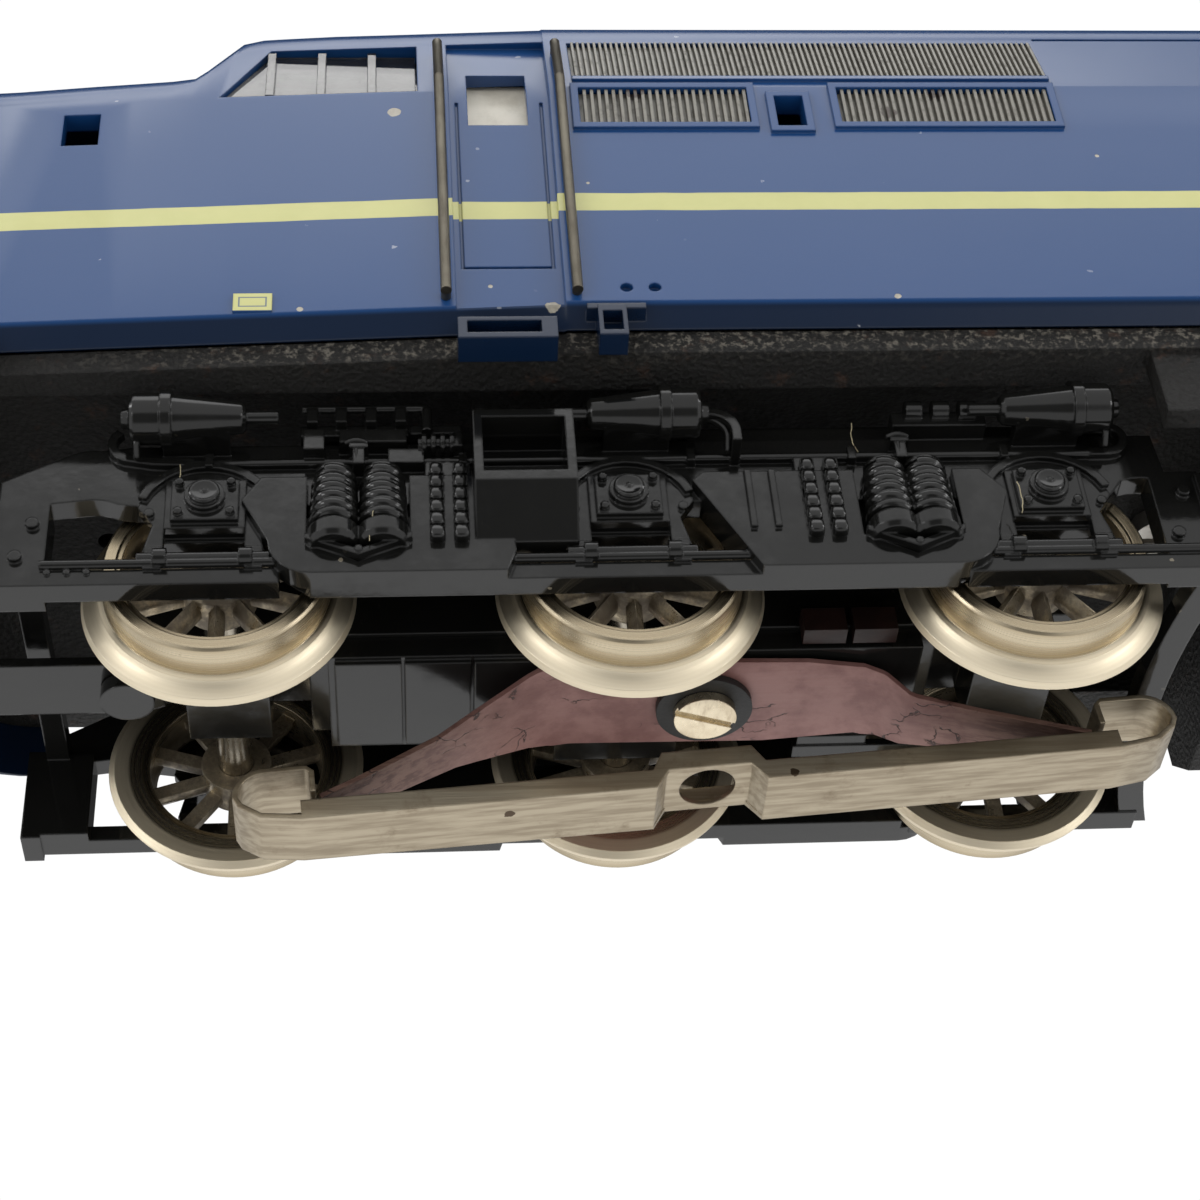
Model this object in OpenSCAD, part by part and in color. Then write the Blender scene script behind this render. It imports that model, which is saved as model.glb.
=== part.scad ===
// Model diesel locomotive, two cabs, two six-wheeled bogies, for 16.5 mm gauge track.
// X runs along the locomotive, Y across it, Z up. The origin is on the rail tops, midway
// between the bogies. The pickup bogie stands at -X and the motor bogie at +X.

/* [Body] */
// Length of the body between the two nose fronts
body_len = 202.6; // [200:0.2:206]
// Width over the body side walls
body_w = 35.2; // [35:0.1:36]
// Height of the roof above the rails
roof_z = 49.3; // [48.5:0.1:51]
// Thickness of the body wall
wall = 1.2; // [1:0.05:1.3]
// Depth of the louvres cut in the grilles
louvre_depth = 0.35; // [0.2:0.01:0.4]
// Spacing of the louvres in the upper grilles
upper_louvre_pitch = 0.34; // [0.3:0.01:0.6]
// Spacing of the louvres in the lower grilles
lower_louvre_pitch = 0.42; // [0.35:0.01:0.7]

/* [Running gear] */
// Distance between the bogie centres
bogie_spacing = 118; // [117:0.5:120]
// Distance between neighbouring axles in a bogie
axle_pitch = 22; // [21.8:0.05:22.2]
// Radius of the wheel tread
tread_r = 6; // [5.8:0.05:6.1]
// Radius of the wheel flange
flange_r = 7.3; // [6.8:0.05:7.35]
// Distance between the backs of the two wheels on one axle
back_to_back = 14; // [13.9:0.02:14.1]
// Number of wheel spokes
spokes = 10; // [8:1:12]

/* [Drive] */
// Gear module
gear_m = 0.4; // [0.39:0.01:0.4]
// Radius of the armature drum
armature_r = 7.4; // [6:0.1:7.6]

/* [Pickup] */
// Length of the sliding pickup shoe
shoe_len = 51.6; // [50:0.2:52]
// Width of the sliding pickup shoe
shoe_w = 3.8; // [3.2:0.1:4]
// How many degrees the unloaded shoe hangs down at its nose end
shoe_tilt = 4.5; // [4.3:0.05:4.7]

/* [Buffers] */
// Diameter of a buffer head
buffer_d = 5; // [4.4:0.1:5.2]
// Distance between the buffers of one end
buffer_spacing = 20; // [19:0.5:21]

/* [Hidden] */
$fn = 32;

eps = 0.05;                       // overlap that lets cutters pass through a face
gap = 0.05;                       // clearance between pieces that touch or run together
bogie_x = bogie_spacing / 2;
half_w = body_w / 2;
nose_x = body_len / 2;

// Colours
blue = [0.06, 0.14, 0.33];
dark_cast = [0.12, 0.11, 0.1];
gloss_black = [0.03, 0.03, 0.03];
nickel = [0.72, 0.68, 0.58];
steel = [0.6, 0.6, 0.6];
copper = [0.42, 0.22, 0.2];
olive_grey = [0.3, 0.3, 0.26];

// Heights of the body section
sill_z = 16.9;                    // underside of the body side
skirt_z = 11.5;                   // underside of the body below each nose
waist_z = 36.7;                   // where the side wall starts to lean inwards
shoulder_z = 43.3;                // where the roof curve starts
lean = 1.5;                       // how far the wall leans in between waist and shoulder
hem = 1.1;                        // chamfer along the bottom of the body
roof_steps = 10;                  // facets in half of the roof curve

// Distances of the cab features from the bogie centre line; negative is towards the nose
door_front = -9.1;
door_rear = -3.2;
skirt_start = -34.4;
nose_round = 7.8;                 // length of the rounded nose front
nose_power = 2.3;                 // squareness of the rounded nose front
nose_flat_w = 8;                  // half width of the flat nose front
door_plane = half_w - 0.6;
cab_w = half_w - 0.3;
nose_w = half_w - 1.3;
side_slope = atan(lean / (shoulder_z - waist_z));

// Shape of the front rounding, 1 where it starts and 0 at the nose front
function nose_fade(d, t) =
    let (reach = nose_round - t, u = min(1, max(0, (skirt_start - 0.1 - d) / reach)))
    pow(max(0, 1 - pow(u, nose_power)), 1 / nose_power);

// Half width of the body, distance d from the bogie centre line, wall inset t
function plan_half(d, t) =
    d > door_rear - 0.01 ? half_w - t
    : d > skirt_start ? nose_w + (cab_w - nose_w) * (d - skirt_start) / (door_front - skirt_start) - t
    : nose_flat_w + (nose_w - nose_flat_w) * nose_fade(d, t) - t;

// Heights along the cab: roof top, shoulder and waist, as [distance, height]
roof_line = [[-42.3, 35], [-34.5, 41.2], [-30, 41.6], [-25.4, 41.9], [-24.1, 42], [-21.4, 48],
    [-20.2, 48.8], [-15.8, 49.3], [0, 49.3]];
shoulder_line = [[-42.3, 31], [-34.5, 37.2], [-25.4, 37.9], [-24, 38.6], [-21.4, 43.1], [-20, 43.3],
    [0, 43.3]];
waist_line = [[-42.3, 30], [-34.5, 36.5], [-30, 36.7], [0, 36.7]];
// How far the shoulder stands in from the waist, and how wide the rounded roof corner is
lean_line = [[-42.3, 0.3], [-24.5, 0.4], [-21.4, lean], [0, lean]];
corner_line = [[-42.3, 4.5], [-24.1, 5], [-21.4, 10.5], [-12, 11.1], [0, 11.1]];
roof_base = 49.3;                 // roof height the table above was drawn for
roof_crown = 0.1;                 // how far the middle of the roof stands above its corners

function fade_between(low, high, d, t) = low + (high - low) * nose_fade(d, t);
function line_z(table, d, t) =
    d < skirt_start - 0.1 ? fade_between(table[0][1], table[1][1], d, t) : lookup(d, table);

// Outline of the body across the locomotive at distance d, with the wall inset by t
function body_ring(d, t) =
    let (w = plan_half(d, t),
        base = t > 0 ? 2 : (d < skirt_start ? skirt_z : sill_z),
        cut = t > 0 ? 0.01 : hem,
        z1 = line_z(waist_line, d, t),
        z2 = line_z(shoulder_line, d, t) - t * 0.3,
        top = line_z(roof_line, d, t) + (roof_z - roof_base) * nose_fade(d, t) - t,
        w2 = w - lookup(d, lean_line),
        round_w = lookup(d, corner_line),
        half = concat([[w - cut, base], [w, base + cut], [w, z1], [w2, z2]],
            [for (k = [1:roof_steps], a = [90 * k / roof_steps])
                [w2 - round_w + round_w * cos(a), z2 + (top - z2) * sin(a)]]))
    concat(half, [[0, top + roof_crown]],
        [for (k = [len(half) - 1:-1:0]) [-half[k][0], half[k][1]]]);

// Distances at which body outlines are taken, from the nose to the first straight station
function nose_stations(t) = concat(
    [for (a = [90:-10:10]) skirt_start - 0.1 - (nose_round - t) * sin(a)],
    [skirt_start - 0.1, skirt_start + 0.1, -30, -27.5, -25.4, -24.1, -23.4, -22.7, -22, -21.4, -20.8,
        -20.2, -19, -17.6, -15.8, -12, door_front, door_rear - 0.05, door_rear + 0.05]);

// Closed skin through outlines that stand along X; at = positions, rings = outlines
module skin(at, rings) {
    n = len(rings[0]);
    m = len(at);
    points = [for (i = [0:m - 1], p = rings[i]) [at[i], p[0], p[1]]];
    sides = [for (i = [0:m - 2], k = [0:n - 1], half = [0, 1])
        half == 0
            ? [i * n + k, (i + 1) * n + k, i * n + (k + 1) % n]
            : [i * n + (k + 1) % n, (i + 1) * n + k, (i + 1) * n + (k + 1) % n]];
    caps = [[for (k = [0:n - 1]) k], [for (k = [n - 1:-1:0]) (m - 1) * n + k]];
    polyhedron(points, concat(sides, caps));
}

// The whole body as a solid, with its surface set in by t
module body_solid(t) {
    front = nose_stations(t);
    rings = [for (d = front) body_ring(d, t)];
    last = len(front) - 1;
    at = concat([for (d = front) d - bogie_x], [for (k = [last:-1:0]) bogie_x - front[k]]);
    skin(at, concat(rings, [for (k = [last:-1:0]) rings[k]]));
}

// Copies at all four corners of the body, drawn for the -X, -Y corner around the bogie centre
module each_corner() {
    for (mx = [0, 1], my = [0, 1]) {
        mirror([mx, 0, 0]) mirror([0, my, 0]) translate([-bogie_x, 0, 0]) children();
    }
}
// Copies at both ends, drawn around the bogie centre at -X
module each_end() {
    for (mx = [0, 1]) mirror([mx, 0, 0]) translate([-bogie_x, 0, 0]) children();
}
// A box between two corners, its distance out from the centre line counted towards -Y
module side_box(x0, x1, out0, out1, z0, z1) {
    translate([x0, -out1, z0]) cube([x1 - x0, out1 - out0, z1 - z0]);
}
// Extrudes an outline drawn in X and Z outwards, towards -Y
module side_plate(out0, out1) {
    translate([0, -out0, 0]) rotate([90, 0, 0]) linear_extrude(out1 - out0) children();
}
// Extrudes an outline drawn in distance out and Z along X
module cross_prism(x0, x1) {
    translate([x0, 0, 0]) rotate([90, 0, 90]) linear_extrude(x1 - x0) mirror([1, 0]) children();
}
module rod_x(x0, x1, y, z, r) {
    translate([x0, y, z]) rotate([0, 90, 0]) cylinder(h = x1 - x0, r = r);
}
module rod_y(x, y0, y1, z, r) {
    translate([x, y0, z]) rotate([-90, 0, 0]) cylinder(h = y1 - y0, r = r);
}
module rod_z(x, y, z0, z1, r) {
    translate([x, y, z0]) cylinder(h = z1 - z0, r = r);
}
// ---------------------------------------------------------------- body shell
cab_sill_z = 36.9;
cab_head_z = 43.1;
cab_window_x = [-22.5, -10.9];
cab_window_slant = 2.8;                       // how far the front edge slopes back at the top
door_foot_z = 17.9;
door_head_z = 43.2;
door_depth = half_w - door_plane;
grille_start = 1.15;                          // distance up the leaning wall to the upper grille
grille_rise = 5.2;                            // height of the upper grille along the wall
grille_x = [-1.75, 27];
grille_bed = 0.4;                             // how deep the grille pockets are
lower_grilles_at = [[-1.5, 8.5], [13.85, 26.6]];
lower_grille_z = [33.15, 36.4];
port_x = [10.05, 11.75];
port_z = [32.8, 35.6];
nose_port_x = [-31.4, -29.3];

// Outline of the cab side window, drawn smaller all round by margin m
module cab_window_outline(m) {
    low = cab_sill_z + m;
    high = cab_head_z - m;
    polygon([[cab_window_x[0] + 1.4 * m, low], [cab_window_x[1] - m, low], [cab_window_x[1] - m, high],
        [cab_window_x[0] + cab_window_slant + 0.6 * m, high]]);
}
module cab_side_windows() {
    side_plate(12, 20) cab_window_outline(0);
}
module windscreen_opening() {
    translate([-27, 0, 0]) rotate([90, 0, 90]) linear_extrude(11)
        polygon([[-0.6, 42.9], [-12, 42.6], [-10.2, 46.2], [-0.6, 47.4]]);
}
module door_cuts() {
    groove = 0.18;
    cross_prism(door_front, door_rear) polygon([[door_plane, door_foot_z], [door_plane, waist_z],
        [half_w - lean - door_depth, door_head_z], [22, door_head_z], [22, door_foot_z]]);
    side_plate(12, 20) translate([-8, 33.9]) square([3.5, 5.5]);
    for (x = [-8.75, -3.75]) side_box(x, x + groove, door_plane - 0.15, 20, 21.3, 36);
    side_box(-8.75, -3.6, door_plane - 0.15, 20, 21.3, 21.3 + groove);
}
// Places children on the leaning wall: X along it, Z up the slope, Y inwards from its face
module on_leaning_wall(w) {
    translate([0, -w, waist_z]) rotate([-side_slope, 0, 0]) children();
}
module grille_pocket() {
    drip_groove = 0.2;
    on_leaning_wall(half_w) translate([grille_x[0], -1, grille_start])
        cube([grille_x[1] - grille_x[0], 1 + grille_bed, grille_rise]);
    for (g = lower_grilles_at)
        side_box(g[0], g[1], half_w - grille_bed, 20, lower_grille_z[0], lower_grille_z[1]);
    side_box(port_x[0], port_x[1], 15, 20, port_z[0], port_z[1]);
    side_box(nose_port_x[0], nose_port_x[1], 12, 20, port_z[0], port_z[1]);
    side_box(grille_x[1] + 0.3, bogie_x + eps, half_w - lean - drip_groove, 20, shoulder_z,
        shoulder_z + drip_groove);
}
module side_details() {
    rim = 0.45;
    proud = 0.22;
    for (g = concat(lower_grilles_at, [port_x])) {
        z = g == port_x ? port_z : lower_grille_z;
        side_box(g[0] - rim, g[1] + rim, half_w - 0.3, half_w + proud, z[0] - rim, z[1] + rim);
    }
    on_leaning_wall(half_w) translate([grille_x[0], -proud, grille_start - rim])
        cube([grille_x[1] - grille_x[0], proud + 0.3, rim]);
    side_box(-9.1, -3.8, 16.45, 18.25, 14.5, 16.1);
    side_box(-8.9, -4, 16.45, 16.9, 15, 17.7);
    side_box(-1.55, 0, 16.45, 18, 14.95, 17.3);
    side_box(-2.1, 1.1, 16.5, 17.8, 17.2, 17.6);
    side_plate(door_plane - 0.3, door_plane + 0.35)
        polygon([[-8.3, 31.6], [-7.9, 31.4], [-6.4, 32.8], [-6.6, 33]]);
    side_box(-21.1, -19, cab_w - 0.9, cab_w - 0.25, 18, 19.4);
}
module step_hollow() {
    side_box(-8.6, -4.65, 17.3, 19, 14.9, 15.8);
    side_box(-1.3, -0.25, 17.1, 19, 15.3, 16.8);
}
module side_dimples() {
    for (x = [0.17, 1.72]) rod_y(x, -half_w - 1, -half_w + 0.4, 19.06, 0.35);
}
module screw_posts() {
    post_r = 2.2;
    for (s = [-1, 1]) rod_z(26 * s, 0, 18.7, roof_z - wall / 2, post_r);
}
top_lamp_z = 31.5;
module lamp_openings(r) {
    for (s = [-1, 1]) rod_x(-46, -30, 6.4 * s, 23, r);
    rod_x(-46, -30, 0, top_lamp_z, r);
}
module body_shell() {
    color(blue) difference() {
        union() {
            difference() {
                union() {
                    body_solid(0);
                    each_corner() side_details();
                }
                body_solid(wall);
                each_corner() {
                    cab_side_windows();
                    windscreen_opening();
                    door_cuts();
                    grille_pocket();
                    step_hollow();
                    side_dimples();
                    rod_x(-46, -38, -buffer_spacing / 2, 12.1, 1.75);
                    side_box(-46, -38, buffer_spacing / 2 - 1.75, buffer_spacing / 2 + 1.75, 10, 12.1);
                }
                each_end() lamp_openings(1.3);
            }
            screw_posts();
        }
        for (s = [-1, 1]) rod_z(26 * s, 0, 18, 26.5, 0.92);
        for (s = [-1, 0, 1]) rod_z(22 * s, 0, roof_z - 3, roof_z + 2, 3.3);
        for (s = [-1, 1]) rod_z(36 * s, 0, roof_z - 3, roof_z + 2, 1.4);
    }
}
// ---------------------------------------------------------------- glazing and grilles
module cab_glazing_at_front() {
    sheet = 0.5;
    plug_face = 0.8;                          // the panes stand this far behind the wall face
    rib_face = 0.4;
    intersection() {
        difference() {
            body_solid(wall + gap);
            body_solid(wall + gap + sheet);
        }
        translate([-bogie_x - 26, -20, 35.6]) cube([15.6, 40, 12]);
    }
    for (my = [0, 1]) mirror([0, my, 0]) translate([-bogie_x, 0, 0]) {
        intersection() {
            side_plate(12, 20) cab_window_outline(0.1);
            on_leaning_wall(cab_w) translate([-26, plug_face, 0]) cube([18, wall + 0.1 - plug_face, 8]);
        }
        for (x = [-19.6, -16.6, -13.6]) on_leaning_wall(cab_w)
            translate([x - 0.25, rib_face, 0.4]) cube([0.5, plug_face - rib_face + 0.2, 5.95]);
    }
}
module front_cab_glazing() {
    color([0.8, 0.85, 0.85, 0.4]) cab_glazing_at_front();
}
module rear_cab_glazing() {
    color([0.8, 0.85, 0.85, 0.4]) mirror([1, 0, 0]) cab_glazing_at_front();
}
module door_panes() {
    color([0.75, 0.75, 0.7]) each_corner() side_box(-8.5, -3.9, 14.7, 15.25, 33.4, 39.8);
}
// Louvred plate, drawn lying on XZ: long in X, louvres run along Z, face towards -Y
module louvre_plate(length, height, pitch) {
    count = floor(length / pitch);
    step = length / count;
    slot = step * 0.55;
    base = 0.12;
    linear_extrude(height) polygon(concat([[0, 0], [0, -base]],
        [for (k = [0:count - 1], q = [0:3])
            [k * step + (q < 2 ? slot : step), q == 0 || q == 3 ? -base : -base - louvre_depth]],
        [[length, 0]]));
}
module upper_grilles() {
    length = grille_x[1] - grille_x[0] - 2 * gap;
    color(olive_grey) each_corner() on_leaning_wall(half_w)
        translate([grille_x[0] + gap, grille_bed - 0.02, grille_start + gap])
            louvre_plate(length, grille_rise - 2 * gap, upper_louvre_pitch);
}
module lower_grilles() {
    color(olive_grey) each_corner() for (g = lower_grilles_at)
        translate([g[0] + gap, -half_w + grille_bed - 0.02, lower_grille_z[0] + gap])
            louvre_plate(g[1] - g[0] - 2 * gap, lower_grille_z[1] - lower_grille_z[0] - 2 * gap,
                lower_louvre_pitch);
}
module handrails() {
    wire_r = 0.3;
    stand = half_w + 0.55;
    top_z = 41.8;
    rail_bend = waist_z + 0.2;
    leaning_len = (top_z - rail_bend) / cos(side_slope);
    drop = (top_z - waist_z) * tan(side_slope);
    color([0.25, 0.24, 0.22]) each_corner() for (x = [-9.65, -2.55]) {
        inner = x < door_front ? cab_w : half_w;
        rod_z(x, -stand, 18.3, rail_bend + 0.1, wire_r);
        translate([x, -stand, rail_bend]) rotate([-side_slope, 0, 0]) cylinder(h = leaning_len, r = wire_r);
        rod_y(x, -stand - 0.1, -inner - 0.01, 18.7, wire_r * 0.9);
        rod_y(x, -stand + drop - 0.1, drop - inner - 0.06, top_z - 0.35, wire_r * 0.9);
    }
}
module roof_fans() {
    color(dark_cast) for (s = [-1, 0, 1]) translate([22 * s, 0, roof_z - wall - 0.6]) {
        rotate_extrude() polygon([[0, 0], [3.25, 0], [3.25, 0.7], [0, 0.7]]);
        translate([0, 0, 0.7]) cylinder(h = 1.3, r = 0.8);
        for (a = [0:45:315]) rotate([0, 0, a]) translate([0.6, -0.2, 0.7]) cube([2.6, 0.4, 0.5]);
    }
}
module exhaust_stacks() {
    color(dark_cast) for (s = [-1, 1]) translate([36 * s, 0, roof_z - wall - 0.5])
        rotate_extrude() polygon([[0.8, 0], [1.35, 0], [1.35, 3], [0.8, 3]]);
}
module headlight_lenses() {
    color([0.9, 0.9, 0.85, 0.5]) each_end() {
        for (s = [-1, 1]) rod_x(-42.4, -38.6, 6.4 * s, 23, 1.25);
        rod_x(-42.35, -38.6, 0, top_lamp_z, 1.25);
    }
}
module lamp_bulbs() {
    color([0.9, 0.85, 0.7]) each_end() {
        rod_x(-37.5, -33.5, 0, 26, 1.5);
        translate([-37.5, 0, 26]) sphere(r = 1.5);
    }
}
module lamp_brackets() {
    color(steel) each_end() difference() {
        union() {
            translate([-33.4, -2.6, 18.65]) cube([0.6, 5.2, 10]);
            rod_x(-33.4, -28.5, 0, 26, 1.4);
            translate([-33.4, -2.6, 18.65]) cube([6, 5.2, 0.5]);
        }
        rod_z(-29.2, 0, 18, 20, 0.7);
    }
}
// ---------------------------------------------------------------- underframe
function floor_edge(t) = [for (d = nose_stations(t)) if (d > -39) [d - bogie_x, plan_half(d, t)]];
module floor_outline(t) {
    edge = floor_edge(t);
    back = [for (k = [len(edge) - 1:-1:0]) edge[k]];
    polygon(concat(edge, [for (p = back) [-p[0], p[1]]], [for (p = edge) [-p[0], -p[1]]],
        [for (p = back) [p[0], -p[1]]]));
}
module side_skirt() {
    cross_cut = [[-30.2, 15.3], [-30.2, 10.6], [20.4, 10.6], [22, 14], [22, 15.3]];
    side_plate(14.8, 16.1) polygon(cross_cut);
}
module tank() {
    cross_prism(-23, 23) polygon([[-15, 15.3], [-15, 10.2], [-12.6, 8], [12.6, 8], [15, 10.2], [15, 15.3]]);
    for (x = [-19, -6.3, 6.4]) side_box(x, x + 12.4, -15.4, 15.4, 10.4, 14.9);
}
module chassis_frame() {
    sill_h = sill_z - 0.1 - 15.2;
    well_w = 13.6;
    color(dark_cast) difference() {
        union() {
            translate([0, 0, 15.2]) linear_extrude(sill_h) floor_outline(wall + 0.05);
            translate([0, 0, 16]) linear_extrude(2.6) floor_outline(wall + 0.6);
            tank();
            side_skirt();
            rotate([0, 0, 180]) side_skirt();
            each_end() side_box(-39.2, -37.6, -11.6, 11.6, 10, 17);
        }
        each_end() {
            side_box(-37.6, 34.8, -well_w, well_w, 5, 17);
        }
        rod_z(-bogie_x, 0, 16, 20, 2.05);
        translate([bogie_x - 16, -11, 15]) cube([32, 22, 6]);
        for (s = [-1, 1]) rod_z(26 * s, 0, 15, 20, 0.95);
        each_corner() rod_x(-46, -36, -buffer_spacing / 2, 12.1, 0.85);
        each_end() rod_z(-29.2, 0, 16, 20, 0.7);
    }
}
module buffers() {
    head_r = buffer_d / 2;
    color(gloss_black) each_corner() translate([-42.6, -buffer_spacing / 2, 12.1]) rotate([0, 90, 0])
        rotate_extrude() polygon([[0, -6.9], [head_r - 0.6, -6.9], [head_r, -6.5], [head_r, -6.1],
            [0.9, -5.9], [0.9, -3], [1.4, -2.9], [1.7, 0.2], [1.7, 3.35], [0.83, 3.35], [0.83, 5], [0, 5]]);
}
module body_screws() {
    color(steel) for (s = [-1, 1]) difference() {
        union() {
            rod_z(26 * s, 0, 15.8, 16.98, 1.7);
            rod_z(26 * s, 0, 16.9, 26, 0.9);
        }
        translate([26 * s - 2, -0.2, 15.5]) cube([4, 0.4, 0.8]);
    }
}
module ballast_weight() {
    color([0.35, 0.35, 0.37]) difference() {
        union() {
            translate([-21, -12, 18.65]) cube([42, 24, 7.4]);
            for (sx = [-1, 1], sy = [-1, 1]) rod_z(15 * sx, 7 * sy, 26, 29.9, 1.3);
        }
        for (sx = [-1, 1]) rod_z(9 * sx, 0, 18, 27, 1);
    }
}
module circuit_board() {
    color([0.1, 0.35, 0.15]) union() {
        translate([-18, -9, 29.95]) cube([36, 18, 1.2]);
        for (x = [-14, -10, -6]) translate([x, 3, 31]) cube([2.4, 3.4, 1.6]);
        for (x = [-13, -7]) rod_x(x, x + 4, -5, 31.9, 0.8);
    }
}
module reversing_relay() {
    color([0.2, 0.2, 0.22]) union() {
        translate([2, -6, 31.2]) cube([13, 12, 7]);
        translate([4, -4, 38]) cube([9, 8, 1]);
    }
}
module lamp_wires() {
    wire_r = 0.35;
    color([0.7, 0.15, 0.1]) for (s = [-1, 1]) {
        rod_x(-87.4, 87.4, 13.2 * s, 27.6, wire_r);
        for (e = [-1, 1])
            rod_y(87.1 * e, min(13.5 * s, 1.5 * s), max(13.5 * s, 1.5 * s), 27.6, wire_r * 0.9);
    }
}
module motor_bridge() {
    color(steel) translate([bogie_x, 0, 0]) difference() {
        union() {
            translate([-5, -12, 35.5]) cube([10, 24, 1.4]);
            for (s = [-1, 1]) {
                translate([-5, s > 0 ? 11.05 : -12, 18.65]) cube([10, 0.95, 17]);
                translate([-5, s > 0 ? 11.05 : -14.2, 18.65]) cube([10, 3.15, 1]);
            }
        }
        rod_z(0, 0, 35, 38, 2.05);
    }
}
// ---------------------------------------------------------------- bogie side frames
// Bogie parts are drawn around the bogie centre with the nose towards -X
module at_front() { translate([-bogie_x, 0, 0]) children(); }
module at_rear() { translate([bogie_x, 0, 0]) rotate([0, 0, 180]) children(); }

// Flat ribbon of thickness t that follows points in a plane
function side_of(p, k, t) =
    let (a = p[max(0, k - 1)], b = p[min(len(p) - 1, k + 1)], d = b - a, n = norm(d))
    p[k] + [-d[1], d[0]] * (t / n);
module ribbon(p, t) {
    polygon(concat([for (k = [0:len(p) - 1]) side_of(p, k, t / 2)],
        [for (k = [len(p) - 1:-1:0]) side_of(p, k, -t / 2)]));
}
function arc(cx, cz, r, from, to, steps = 8) =
    [for (k = [0:steps]) [cx + r * cos(from + (to - from) * k / steps),
        cz + r * sin(from + (to - from) * k / steps)]];

beam_low = 10;
beam_top = 13;
plate_in = 10.5;
web_out = 11.3;
bar_low = 3.2;

module frame_web() {
    side_plate(plate_in, web_out + 0.5) difference() {
        polygon(concat([[-33.3, 8.6], [-33.3, 10.5]], arc(-28.6, 10.4, 2.4, 120, 80, 4),
            [[-26.4, beam_top], [29.2, beam_top], [29.4, beam_low]], arc(28, 6.6, 3.2, 70, 110, 4),
            [[26, beam_low - 1.6], [-25.6, beam_low - 1.4]], arc(-28.4, 6.6, 2.6, 60, 100, 4)));
    }
    for (x = [[-31.3, -18.6], [-7, 6.6], [17.6, 31]])
        side_box(x[0], x[1], plate_in, web_out + 0.5, bar_low, bar_low + 1);
    side_box(3.4, 27.4, plate_in, web_out + 0.3, beam_top - 0.3, 14);
    side_box(-6, 0, plate_in, web_out + 0.3, beam_top - 0.3, 13.6);
}
module pedestal(xc) {
    side_plate(web_out, 11.95) difference() {
        polygon(concat([[xc - 3.15, 5.3], [xc - 2.7, 7.2], [xc - 3.5, 8.4]],
            arc(xc, 7.7, 3.6, 168, 12, 12), [[xc + 3.5, 8.4], [xc + 2.7, 7.2], [xc + 3.15, 5.3]]));
        translate([xc - 2.1, 5]) square([4.2, 1.7]);
    }
    side_plate(11.9, 12.25) difference() {
        polygon(concat(arc(xc, 7.7, 3.75, 160, 20, 12), arc(xc, 7.7, 3.3, 20, 160, 12)));
    }
    side_plate(11.9, 12.2) translate([xc - 2.1, 6.7]) square([4.2, 3.4]);
    side_plate(12.15, 12.55) translate([xc - 1.75, 7]) square([3.5, 2.8]);
    rod_y(xc, -12.9, -12.5, 8.5, 1.05);
    rod_y(xc, -13.0, -12.85, 8.5, 0.8);
    for (sx = [-1, 1], sz = [-1, 1]) rod_y(xc + 1.35 * sx, -12.75, -12.5, 8.4 + 1.05 * sz, 0.24);
    for (sx = [-1, 1]) rod_y(xc + 2.9 * sx, -12.2, -11.9, 7.9, 0.26);
    rod_x(xc - 3.4, xc + 3.4, -11.9, 4.85, 0.32);
    for (sx = [-1, 1]) {
        side_box(xc + 2.6 * sx - 0.45, xc + 2.6 * sx + 0.45, web_out, 12, 4.1, 5.6);
        rod_x(xc + 2.2 * sx - 0.35, xc + 2.2 * sx + 0.35, -12.1, 4.75, 0.5);
    }
    side_box(xc - 2.4, xc + 2.4, plate_in, web_out + 0.1, 6.4, 10.4);
}
module coil_spring(xc) {
    coils = 5;
    low = 6.2;
    high = 10;
    top = 10.25;
    pitch = (high - low) / coils;
    core_r = 0.75;
    function coil_r(k) = 1.36 - 0.06 * k;
    translate([xc, -12.35, 0]) rotate_extrude() polygon(concat(
        [[0, 4.9], [1.2, 4.9], [1.42, 5.15], [1.42, 5.95], [1.25, low], [core_r, low]],
        [for (k = [0:coils - 1], p = [[coil_r(k), 0.32], [coil_r(k), 0.68], [core_r, 1]])
            [p[0], low + (k + p[1]) * pitch]],
        [[1.05, high], [1.05, top], [0, top]]));
}
module spring_pair(xa, xb) {
    coil_spring(xa);
    coil_spring(xb);
    mid = (xa + xb) / 2;
    half = (xb - xa) / 2 + 1.5;
    side_plate(12.3, 13.0)
        polygon([[mid - half, 5.5], [mid - half, 5.2], [mid, 4], [mid + half, 5.2], [mid + half, 5.5],
            [mid, 4.35]]);
    side_box(mid - 0.3, mid + 0.3, 11.5, 12.9, 10.6, 11.8);
    side_box(mid - 0.5, mid + 0.5, 12, 13, 11.7, 12.2);
    rod_y(mid, -13.15, -12.4, 4.3, 0.2);
}
module snubber(xc) {
    beads = 6;
    step = 0.9;
    side_box(xc - 1.2, xc + 1.2, 11.2, 12.3, 4.7, 11.2);
    for (s = [-1, 1], k = [0:beads - 1])
        side_box(xc + 0.63 * s - 0.37, xc + 0.63 * s + 0.37, 12.2, 13, 5.2 + step * k, 5.9 + step * k);
}
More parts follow.
